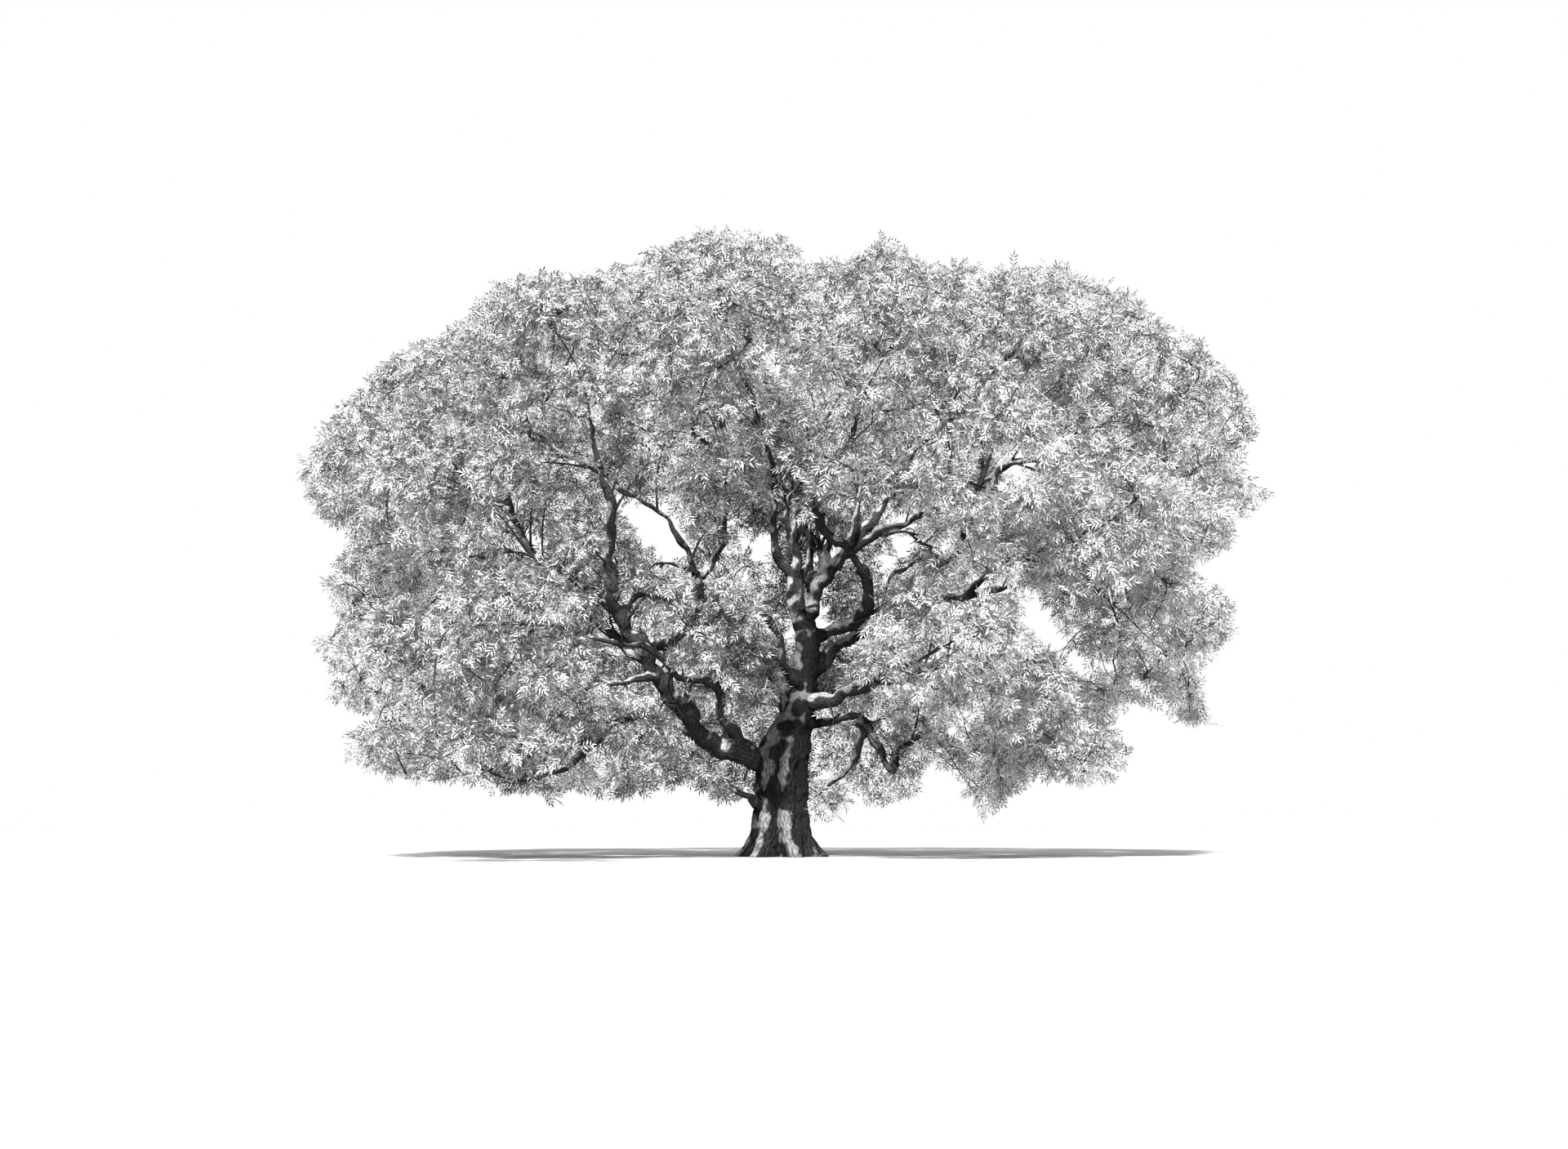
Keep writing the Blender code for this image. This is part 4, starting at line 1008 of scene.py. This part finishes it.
for name, (_, _, _, tip_radius, masses, _) in BOUGHS.items():
    route = limbs[name][0]
    for mass in masses:
        tips[mass] = (route[-1], (route[-1] - route[-2]).normalized(), tip_radius)


def nodes_along(route, frames, step):
    """Where branches may leave a route: each point, its heading and how far it is from the route's start."""
    return np.array([[*point, *frame[0], k * step] for k, (point, frame) in enumerate(zip(route, frames))])


def fork_to(nodes, places):
    """Branches that fork from nodes, and from each other, to places: points, places reached and loads."""
    count = len(nodes)
    nearest = [np.linalg.norm(nodes[:, :3] - place, axis=1).min() for place in places]
    room = np.zeros((len(places) * BRANCH_RINGS, 8))
    nodes = np.vstack([np.column_stack([nodes, np.full(count, -1.0)]), room])
    t = np.linspace(0, 1, BRANCH_RINGS)[:, None]
    grown, reached, parents = [], [], []
    for index in np.argsort(nearest, kind="stable"):
        offset = places[index] - nodes[:count, :3]
        lengths = np.linalg.norm(offset, axis=1)
        bends = 1 - (nodes[:count, 3:6] * offset).sum(1) / (lengths + 1e-6)
        efforts = lengths * (1 + BEND_EFFORT * bends) + REACH_EFFORT * nodes[:count, 6]
        for chosen in np.argsort(efforts, kind="stable")[:WAYS_TRIED]:
            start, heading, length = nodes[chosen, :3], nodes[chosen, 3:6], lengths[chosen]
            sway = np.array([chance.uniform(-1, 1) for _ in range(3)]) * BRANCH_SWAY * length
            bend = start + heading * length * BRANCH_RUN + np.array([0, 0, BRANCH_RISE * length]) + sway
            points = (start * (1 - t) ** 2 + bend * 2 * t * (1 - t) + places[index] * t**2
                      + sway * 0.5 * np.sin(3 * math.pi * t))
            if inside_crown(points[1:-1], BRANCH_ROOM).all():
                break
        else:
            continue
        for k in range(2, BRANCH_RINGS):
            ahead = points[k] - points[k - 1]
            ahead /= np.linalg.norm(ahead)
            travelled = nodes[chosen, 6] + length * k / (BRANCH_RINGS - 1)
            nodes[count] = [*points[k], *ahead, travelled, len(grown)]
            count += 1
        grown.append(points)
        reached.append(index)
        parents.append(int(nodes[chosen, 7]))
    loads = [1] * len(grown)
    for k in range(len(grown) - 1, -1, -1):
        if parents[k] >= 0:
            loads[parents[k]] += loads[k]
    return grown, reached, loads


branches = bmesh.new()
branch_points, branch_radii, branch_loads, tufts = [], [], [], []


def grow_branches(nodes, owner, thickest, out):
    """The branches of one mass, each thicker the more it carries, with a tuft of twigs at its end."""
    places, fullness = clumps.of(owner)
    grown, reached, loads = fork_to(nodes, places)
    for points, index, load in zip(grown, reached, loads):
        thick = min(BRANCH_TIP + BRANCH_GROWTH * load**BRANCH_POWER, thickest)
        branch_points.append(points)
        branch_radii.append(np.linspace(thick, BRANCH_TIP, BRANCH_RINGS))
        branch_loads.append(load)
        tufts.append((points, out, fullness[index]))


inner_nodes = []
for name, space in spaces.items():
    chance = random.Random(f"{SEED} branches {name}")
    tip, heading, tip_radius = tips[name]
    onward = ((space.middle - tip).normalized() + LEADER_OUTWARD * space.out).normalized()
    for share in LEADER_ENDS:
        end = space.middle + onward * space.reach(space.middle, onward) * share
        if inside_crown(np.array([end]), LEADER_ROOM)[0]:
            break
    bend = space.middle + any_way(chance, LEADER_BEND)
    start = tip - heading * LEADER_OVERLAP
    leader = curve_through([start, tip + heading * LEADER_STEP, bend, end], LEADER_STEP)
    leader_radii = limb_radii(leader, tip_radius * LEADER_SHARE, LEADER_TIP, swell=0)
    leader_radii = leader_radii + LEADER_FOOT * tip_radius * np.exp(-arc_lengths(leader))
    leader, leader_radii = gnarled(leader, leader_radii, chance)
    frames = frames_along(leader)
    grow_limb(branches, leader, leader_radii, frames, LEADER_SIDES)
    nodes = nodes_along(leader[1:], frames[1:], LEADER_STEP)
    inner_nodes.append(nodes)
    grow_branches(nodes, name, tip_radius * THICKEST_SHARE, space.out)
for name, (route, radii, frames) in limbs.items():
    if name != "trunk":
        inner_nodes.append(nodes_along(route[INNER_FORKS], frames[INNER_FORKS], 0))
chance = random.Random(f"{SEED} inner branches")
grow_branches(np.vstack(inner_nodes), "inner", INNER_THICKEST, INNER_OUT)

# Short leafy shoots stand along the limbs.
SHOOT_START = 1.2
SHOOT_SPACING = 0.6
SHOOT_LENGTH = (0.5, 1.9)
SHOOT_AHEAD = 0.5
SHOOT_UP = 0.35
SHOOT_RISE = 0.1
SHOOT_BEND = 0.15
SHOOT_ROOM = 0.08
SHOOT_FOOT = (0.02, 0.012)
SHOOT_TIP = 0.01
SHOOT_FULLNESS = 0.7
chance = random.Random(f"{SEED} shoots")
for name, (route, radii, frames) in limbs.items():
    if name == "trunk":
        continue
    for k in range(round(SHOOT_START / BOUGH_STEP), len(route), round(SHOOT_SPACING / BOUGH_STEP)):
        tangent, side, across = frames[k]
        turn = chance.uniform(0, 2 * math.pi)
        way = side * math.cos(turn) + across * math.sin(turn) + SHOOT_AHEAD * tangent + SHOOT_UP * UP
        way.normalize()
        length = chance.uniform(*SHOOT_LENGTH)
        start = route[k] + way * radii[k] * 0.5
        end = start + way * length + UP * SHOOT_RISE * length
        bend = start.lerp(end, 0.5) + tangent * SHOOT_BEND * length
        points = np.array([start * (1 - t) ** 2 + bend * 2 * t * (1 - t) + end * t**2
                           for t in np.linspace(0, 1, BRANCH_RINGS)])
        if not inside_crown(points[2:], SHOOT_ROOM).all():
            continue
        branch_points.append(points)
        branch_radii.append(np.linspace(SHOOT_FOOT[0] + SHOOT_FOOT[1] * length, SHOOT_TIP, BRANCH_RINGS))
        branch_loads.append(1)
        tufts.append((points, UP, SHOOT_FULLNESS))

# Twigs spray from the end of each branch to all sides of its clump and sink a little under the weight of the
# leaves. Each is thin grey young wood that tapers to its last leaves.
TWIGS_PER_CLUMP = 14
TWIG_LENGTH = (0.28, 0.68)
TWIG_RADII = (0.009, 0.004)
TWIG_SIDES = 3
TUBE_STEEP = 0.7
TWIG_DROOP = 0.12
TWIG_SIZE = (0.85, 1.15)
TUFT_LEAD = 0.6
TUFT_RISE = 0.2
TWIG_OUT = 0.35
TWIG_SCATTER = 0.3
BACK_LIMIT = -0.6
TWIG_ZONE = 0.42
LIMB_ROOM = 0.10
TWIG_RIM = (0.0, 0.2)
limb_points = [(point, radius) for route, radii, _ in limbs.values() for point, radius in zip(route, radii)]
limb_tree = KDTree(len(limb_points))
for k, (point, _) in enumerate(limb_points):
    limb_tree.insert(point, k)
limb_tree.balance()


def clear_of_limbs(point):
    _, k, distance = limb_tree.find(point)
    return distance > limb_points[k][1] + LIMB_ROOM


def units(vectors):
    return vectors / (np.linalg.norm(vectors, axis=-1, keepdims=True) + TINY)


def sweep_many(points, radii, sides):
    """Closed tubes along many routes of as many points each: their points and triangles."""
    tangents = units(np.gradient(points, axis=1))
    lead = points[:, -1] - points[:, 0]
    steep = np.abs(lead[:, 2:3]) > TUBE_STEEP * np.linalg.norm(lead, axis=1, keepdims=True)
    helper = np.where(steep, [[1.0, 0.0, 0.0]], [[0.0, 0.0, 1.0]])[:, None]
    side = units(np.cross(tangents, helper))
    across = np.cross(tangents, side)
    angles = 2 * math.pi * np.arange(sides) / sides
    ring = np.cos(angles)[:, None] * side[:, :, None] + np.sin(angles)[:, None] * across[:, :, None]
    verts = points[:, :, None] + ring * radii[:, :, None, None]
    number, rings = points.shape[:2]
    low = np.arange(rings - 1)[:, None] * sides + np.arange(sides)
    turn = np.roll(np.arange(sides), -1)
    low_next = np.arange(rings - 1)[:, None] * sides + turn
    walls = np.stack([np.stack([low, low_next, low_next + sides], 2),
                      np.stack([low, low_next + sides, low + sides], 2)])
    fan = np.arange(1, sides - 1)
    foot = np.stack([np.zeros_like(fan), fan + 1, fan], 1)
    tip = np.stack([np.zeros_like(fan), fan, fan + 1], 1) + (rings - 1) * sides
    faces = np.vstack([walls.reshape(-1, 3), foot, tip])
    faces = faces[None] + (np.arange(number) * rings * sides)[:, None, None]
    return verts.reshape(-1, 3), faces.reshape(-1, 3)


def joined_mesh(name, verts, faces, material):
    """One mesh from arrays of points and triangles."""
    made = bpy.data.meshes.new(name)
    made.vertices.add(len(verts))
    made.vertices.foreach_set("co", verts.astype(np.float32).ravel())
    made.loops.add(len(faces) * 3)
    made.loops.foreach_set("vertex_index", faces.astype(np.int32).ravel())
    made.polygons.add(len(faces))
    made.polygons.foreach_set("loop_start", np.arange(0, len(faces) * 3, 3, dtype=np.int32))
    made.update(calc_edges=True)
    made.materials.append(material)
    return made


twig_points, twig_tufts = [], []
chance = random.Random(f"{SEED} twigs")
for k, (points, mass_out, share) in enumerate(tufts):
    lead = Vector(points[-1] - points[-2]).normalized()
    out = (lead * TUFT_LEAD + mass_out * TUFT_LEAD + UP * TUFT_RISE).normalized()
    turn = chance.uniform(0, 2 * math.pi)
    size = chance.uniform(*TWIG_SIZE)
    number = round(TWIGS_PER_CLUMP * share)
    for index in range(number):
        way = even_way(index, number, turn)
        if way.dot(out) < BACK_LIMIT:
            continue
        way = (way + TWIG_OUT * out + any_way(chance, TWIG_SCATTER)).normalized()
        length = chance.uniform(*TWIG_LENGTH) * size
        back = TWIG_ZONE * chance.random() ** 2 * (BRANCH_RINGS - 1)
        ring = BRANCH_RINGS - 2 - int(back)
        middle = Vector(points[ring + 1]).lerp(Vector(points[ring]), back % 1)
        end = middle + way * length - UP * TWIG_DROOP * length
        if clear_of_limbs(end):
            twig_points.append([list(middle), list(end)])
            twig_tufts.append(k)
twig_points, twig_tufts = np.array(twig_points), np.array(twig_tufts)
draw = np.random.default_rng(SEED)
keep = inside_crown(twig_points[:, 1], draw.uniform(*TWIG_RIM, len(twig_points)))
keep &= ~in_front_of_limbs(twig_points[:, 1], draw.uniform(*CLEARANCE, len(twig_points)))
keep &= ~in_sun_shafts(twig_points[:, 1], SHAFT_ROOM)
twig_points, twig_tufts = twig_points[keep], twig_tufts[keep]
verts, faces = sweep_many(twig_points, np.tile(TWIG_RADII, (len(twig_points), 1)), TWIG_SIDES)
twig_bark = bark_finish("twig bark", furrow=0.04, ridge_tone=0.10, sunlit_and_lichen_tone=0.24, spread=0.65)
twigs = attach(new_object("twigs", joined_mesh("twigs", verts, faces, twig_bark)), "root")
twigs.data.shade_smooth()

# The leaders and branches are young grey wood, each a tapering tube whose closed foot is sunk in what it
# grows on. A branch that would end almost bare in the shade inside the crown is left out.
FEWEST_TWIGS = 2
leafy = (np.bincount(twig_tufts, minlength=len(tufts)) >= FEWEST_TWIGS) | (np.array(branch_loads) > 1)
branches.verts.index_update()
point_count = len(branches.verts)


def point_order(face):
    """A face's place in the order of its points, because extruding leaves faces in a chance order."""
    numbers = [vert.index for vert in face.verts]
    return min(numbers) * point_count + max(numbers)


bmesh.ops.recalc_face_normals(branches, faces=branches.faces)
branches.faces.sort(key=point_order)
bmesh.ops.triangulate(branches, faces=branches.faces)
branch_bark = bark_finish("branch bark", furrow=0.03, ridge_tone=0.09, sunlit_and_lichen_tone=0.26, spread=0.55)
mesh = bpy.data.meshes.new("leaders")
branches.to_mesh(mesh)
branches.free()
mesh.materials.append(branch_bark)
mesh.shade_smooth()
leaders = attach(new_object("leaders", mesh), "root")
verts, faces = sweep_many(np.array(branch_points)[leafy], np.array(branch_radii)[leafy], BRANCH_SIDES)
branch_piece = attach(new_object("branches", joined_mesh("branches", verts, faces, branch_bark)), "root")
branch_piece.data.shade_smooth()

# The leaves are those of ash: each has leaflets in pairs along a thin stalk and one at its tip, and hangs a
# little. They stand crosswise in pairs round the end of each twig as a loose rosette. Three leaf tones, dealt
# out by spray, give the mottled look of the crown, with painted shade inside it (more deep ones) and painted
# light low down outside (more pale ones).
LEAFLET_WIDTH = 0.105
LEAFLET_WIDEST = 0.42
LEAFLET_DROOP = 0.14
LEAFLET_ANGLE = math.radians(48)
# Where each pair of leaflets, and the one at the tip, joins the stalk, its length and its roll.
LEAFLET_PAIRS = ((0.34, 0.42, 0.7), (0.58, 0.47, -0.6), (0.82, 0.42, 0.5))
LEAFLET_END = (0.92, 0.46, -0.3)
STALK_DROOP = 0.10
LEAF_LENGTH = (0.31, 0.46)
LEAF_SPACING = 0.12
STALK_WIDTH = 0.010
LEAVES_PER_ROSETTE = 6
ROSETTE_SPREADS = (38, 16)
ROSETTE_TURN = 0.25
SPREAD_SCATTER = 0.14
LAST_SPREAD = 0.2
LEAF_HANG = (0.05, 0.7)
LEAF_FACING = (0.55, 0.5, 0.9)
LEAF_SLIDE = (0.7, 1.1)
LEAF_STEEP = 0.8
LEAF_SEEN_TIP = 0.9
LEAF_RIM = (-0.15, 0.08)
LEAF_CLEARANCE = (-0.08, 0.10)
LEAF_TONES = {"pale": 0.41, "mid": 0.195, "deep": 0.06}
LEAF_MOTTLE = (0.86, 1.08)
PALE_SHARE = 0.38
DEEP_SHARE = 0.26
# Painted shade: how many more sprays turn deep inside the crown, round a middle left of the trunk, and below
# which height.
INNER_PAINTED_SHADE = 0.18
PAINTED_SHADE_OFFSET = 2.5
PAINTED_SHADE_SPAN = 4.2
PAINTED_SHADE_CEILING = 12
# Painted light: how many more sprays turn pale on the low outer parts, from where across, below which
# slanting height, how softly, and how much more on the right.
OUTER_PAINTED_LIGHT = 0.12
PAINTED_LIGHT_BEGIN = 5
PAINTED_LIGHT_CEILING = 10.5
PAINTED_LIGHT_SLANT = 0.15
PAINTED_LIGHT_SOFTNESS = 2
PAINTED_LIGHT_RIGHT_BOOST = 1.4
TONE_MIXING = 0.85
TRIANGLES_PER_PIECE = 190000


def leaf_template():
    """A leaf of unit length along X that faces +Z: its points and triangles."""
    points, faces = [], []

    def leaflet(base_x, length, roll, angle):
        along = np.array([math.cos(angle), math.sin(angle), 0.0])
        across = np.array([
            -math.sin(angle) * math.cos(roll), math.cos(angle) * math.cos(roll), math.sin(roll)])
        base = np.array([base_x, 0, -STALK_DROOP * base_x**2])
        middle = base + along * length * LEAFLET_WIDEST
        first = len(points)
        points.extend([
            base,
            middle + across * LEAFLET_WIDTH / 2,
            base + along * length - np.array([0, 0, LEAFLET_DROOP * length]),
            middle - across * LEAFLET_WIDTH / 2,
        ])
        faces.extend([(first, first + 2, first + 1), (first, first + 3, first + 2)])

    for base_x, length, roll in LEAFLET_PAIRS:
        leaflet(base_x, length, roll, LEAFLET_ANGLE)
        leaflet(base_x, length, roll, -LEAFLET_ANGLE)
    leaflet(*LEAFLET_END, 0.0)
    first = len(points)
    points.extend([np.array([0, -STALK_WIDTH, 0.0]), np.array([0, STALK_WIDTH, 0.0]),
                   np.array([LEAFLET_END[0], 0.0, -STALK_DROOP * LEAFLET_END[0] ** 2])])
    faces.append((first, first + 2, first + 1))
    return np.array(points), np.array(faces)


ends = twig_points[:, 1]
leads = units(twig_points[:, 1] - twig_points[:, 0])
number = len(ends)
# Painted shade and light: sprays near the trunk, a little to its left and below the top, get more deep tones;
# low outer sprays, most on the right, get more pale ones.
painted_shade_across = ends[:, 0] + PAINTED_SHADE_OFFSET
inner = np.exp(-((painted_shade_across / PAINTED_SHADE_SPAN) ** 2)) * (ends[:, 2] < PAINTED_SHADE_CEILING)
outer = np.clip((np.abs(painted_shade_across) - PAINTED_LIGHT_BEGIN) / PAINTED_LIGHT_SOFTNESS, 0, 1)
under_painted_light_top = np.clip((PAINTED_LIGHT_CEILING + PAINTED_LIGHT_SLANT * ends[:, 0] - ends[:, 2]) / PAINTED_LIGHT_SOFTNESS, 0, 1)
outer *= under_painted_light_top * np.where(painted_shade_across > 0, PAINTED_LIGHT_RIGHT_BOOST, 1.0)


def dealt_tones():
    """A tone for each spray: painted shade deepens them inside, painted light pales them low outside."""
    pick = draw.random(number)
    pale = pick < PALE_SHARE - INNER_PAINTED_SHADE * inner + OUTER_PAINTED_LIGHT * outer
    deep = pick > 1 - DEEP_SHARE - INNER_PAINTED_SHADE * inner + OUTER_PAINTED_LIGHT * outer
    return np.where(pale, 0, np.where(deep, 2, 1))


spray_tone = dealt_tones()
helper = np.where(np.abs(leads[:, 2:3]) > LEAF_STEEP, [[1.0, 0.0, 0.0]], [[0.0, 0.0, 1.0]])
first_side = units(np.cross(leads, helper))
second_side = np.cross(leads, first_side)
start_turn = draw.uniform(0, 2 * math.pi, number)
bases, ways, uppers, sizes, tones = [], [], [], [], []
for k in range(LEAVES_PER_ROSETTE):
    pair, half = divmod(k, 2)
    if half == 0:
        pair_tone = np.where(draw.random(number) < TONE_MIXING, dealt_tones(), spray_tone)
    turn = start_turn + pair * math.pi / 2 + half * math.pi + draw.normal(0, ROSETTE_TURN, number)
    spread = np.radians(ROSETTE_SPREADS[0] + ROSETTE_SPREADS[1] * pair)
    spread = spread + draw.normal(0, SPREAD_SCATTER, number)
    if k == LEAVES_PER_ROSETTE - 1:
        spread = np.abs(draw.normal(0, LAST_SPREAD, number))
    around = np.cos(turn)[:, None] * first_side + np.sin(turn)[:, None] * second_side
    way = units(leads * np.cos(spread)[:, None] + around * np.sin(spread)[:, None])
    way = units(way - np.array(UP) * draw.uniform(*LEAF_HANG, number)[:, None])
    upper = (np.array(UP) * LEAF_FACING[0] + LEAF_FACING[1] * leads
             + draw.normal(0, LEAF_FACING[2], (number, 3)))
    upper = units(upper - (upper * way).sum(1)[:, None] * way)
    bases.append(ends - leads * (LEAF_SPACING * pair * draw.uniform(*LEAF_SLIDE, number))[:, None])
    ways.append(way)
    uppers.append(upper)
    sizes.append(draw.uniform(*LEAF_LENGTH, number))
    tones.append(pair_tone)
bases, ways, uppers = np.vstack(bases), np.vstack(ways), np.vstack(uppers)
sizes, tones = np.concatenate(sizes), np.concatenate(tones)
leaf_tips = bases + ways * sizes[:, None] * LEAF_SEEN_TIP
keep = inside_crown(leaf_tips, draw.uniform(*LEAF_RIM, len(bases)))
keep &= ~in_front_of_limbs(leaf_tips, draw.uniform(*LEAF_CLEARANCE, len(bases)))
keep &= ~in_sun_shafts(leaf_tips, room=0)
bases, ways, uppers, sizes, tones = (values[keep] for values in (bases, ways, uppers, sizes, tones))
template, template_faces = leaf_template()

foliage_nodes = [f"foliage_{name}" for name in MASSES]
per_piece = TRIANGLES_PER_PIECE // len(template_faces)
leaf_pieces = []
for tone_index, (tone, grey) in enumerate(LEAF_TONES.items()):
    finish = Finish(f"{tone} ash leaf", roughness=0.5, shine=0.25)
    patches = finish.between(finish.speckle(scale=9, detail=2), low=0.3, high=0.7)
    finish.colour(finish.blend(patches, grey * LEAF_MOTTLE[0], grey * LEAF_MOTTLE[1]))
    members = np.nonzero(tones == tone_index)[0]
    bearing = np.arctan2(bases[members, 0], bases[members, 2] - CROWN_HEART.z)
    members = members[np.argsort(bearing, kind="stable")]
    for part in range(math.ceil(len(members) / per_piece)):
        chosen = members[part * per_piece:(part + 1) * per_piece]
        axes = np.stack([ways[chosen], np.cross(uppers[chosen], ways[chosen]), uppers[chosen]], 2)
        verts = np.einsum("nij,vj->nvi", axes * sizes[chosen][:, None, None], template)
        verts = verts + bases[chosen][:, None]
        faces = template_faces[None] + (np.arange(len(chosen)) * len(template))[:, None, None]
        piece_name = f"leaves_{tone}_{part + 1}"
        piece_mesh = joined_mesh(piece_name, verts.reshape(-1, 3), faces.reshape(-1, 3), finish.material)
        piece_mesh.shade_flat()
        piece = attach(new_object(piece_name, piece_mesh), "root")
        leaf_pieces.append(piece)
for piece, share in zip(leaf_pieces, np.array_split(foliage_nodes, len(leaf_pieces))):
    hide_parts(*[str(node) for node in share])

# The stage is a plain pale floor under a white sky, lit by a high sun behind the viewer, slightly to the
# left, and by one soft light low on the right. The view is the photograph's, from eye height, 48 m away.
FLOOR_RADIUS = 500
FLOOR_SIDES = 128
FLOOR_DROP = 0.004
FLOOR_TONE = (0.3, 0.3, 0.3, 1)
CAMERA_PLACE = (0.07, -EYE_DISTANCE, EYE_HEIGHT)
CAMERA_PITCH = math.radians(90 + 8.671)
CAMERA_LENS = 38.44
CAMERA_FAR = 2000
SOFT_FROM = Vector((0.35, -0.92, 0.2)).normalized()
# The strength, direction and spread of each light.
LIGHTS = (("sun", 14.5, SUN_FROM, 3), ("soft light", 0.7, SOFT_FROM, 40))
SKY_TONE = (1, 1, 1, 1)
SKY_STRENGTH = 1.0

shape = bmesh.new()
bmesh.ops.create_circle(shape, cap_ends=True, segments=FLOOR_SIDES, radius=FLOOR_RADIUS)
bmesh.ops.translate(shape, verts=shape.verts, vec=(0, 0, -FLOOR_DROP))
mesh = bpy.data.meshes.new("floor")
shape.to_mesh(mesh)
shape.free()
floor_finish = Finish("pale floor", roughness=0.95, shine=0.5)
floor_finish.colour(FLOOR_TONE)
mesh.materials.append(floor_finish.material)
new_object("floor", mesh)

world = bpy.data.worlds.new("white sky")
bpy.context.scene.world = world
world.use_nodes = True
sky = world.node_tree.nodes["Background"]
sky.inputs["Color"].default_value = SKY_TONE
sky.inputs["Strength"].default_value = SKY_STRENGTH

for name, strength, way, angle in LIGHTS:
    light = bpy.data.lights.new(name, "SUN")
    light.energy = strength
    light.angle = math.radians(angle)
    lamp = new_object(name, light)
    lamp.rotation_mode = "QUATERNION"
    lamp.rotation_quaternion = way.to_track_quat("Z", "Y")

lens = bpy.data.cameras.new("camera")
lens.lens = CAMERA_LENS
lens.clip_end = CAMERA_FAR
camera = new_object("camera", lens)
camera.location = CAMERA_PLACE
camera.rotation_euler = (CAMERA_PITCH, 0, 0)
bpy.context.scene.camera = camera
bpy.context.scene.view_settings.view_transform = "Standard"
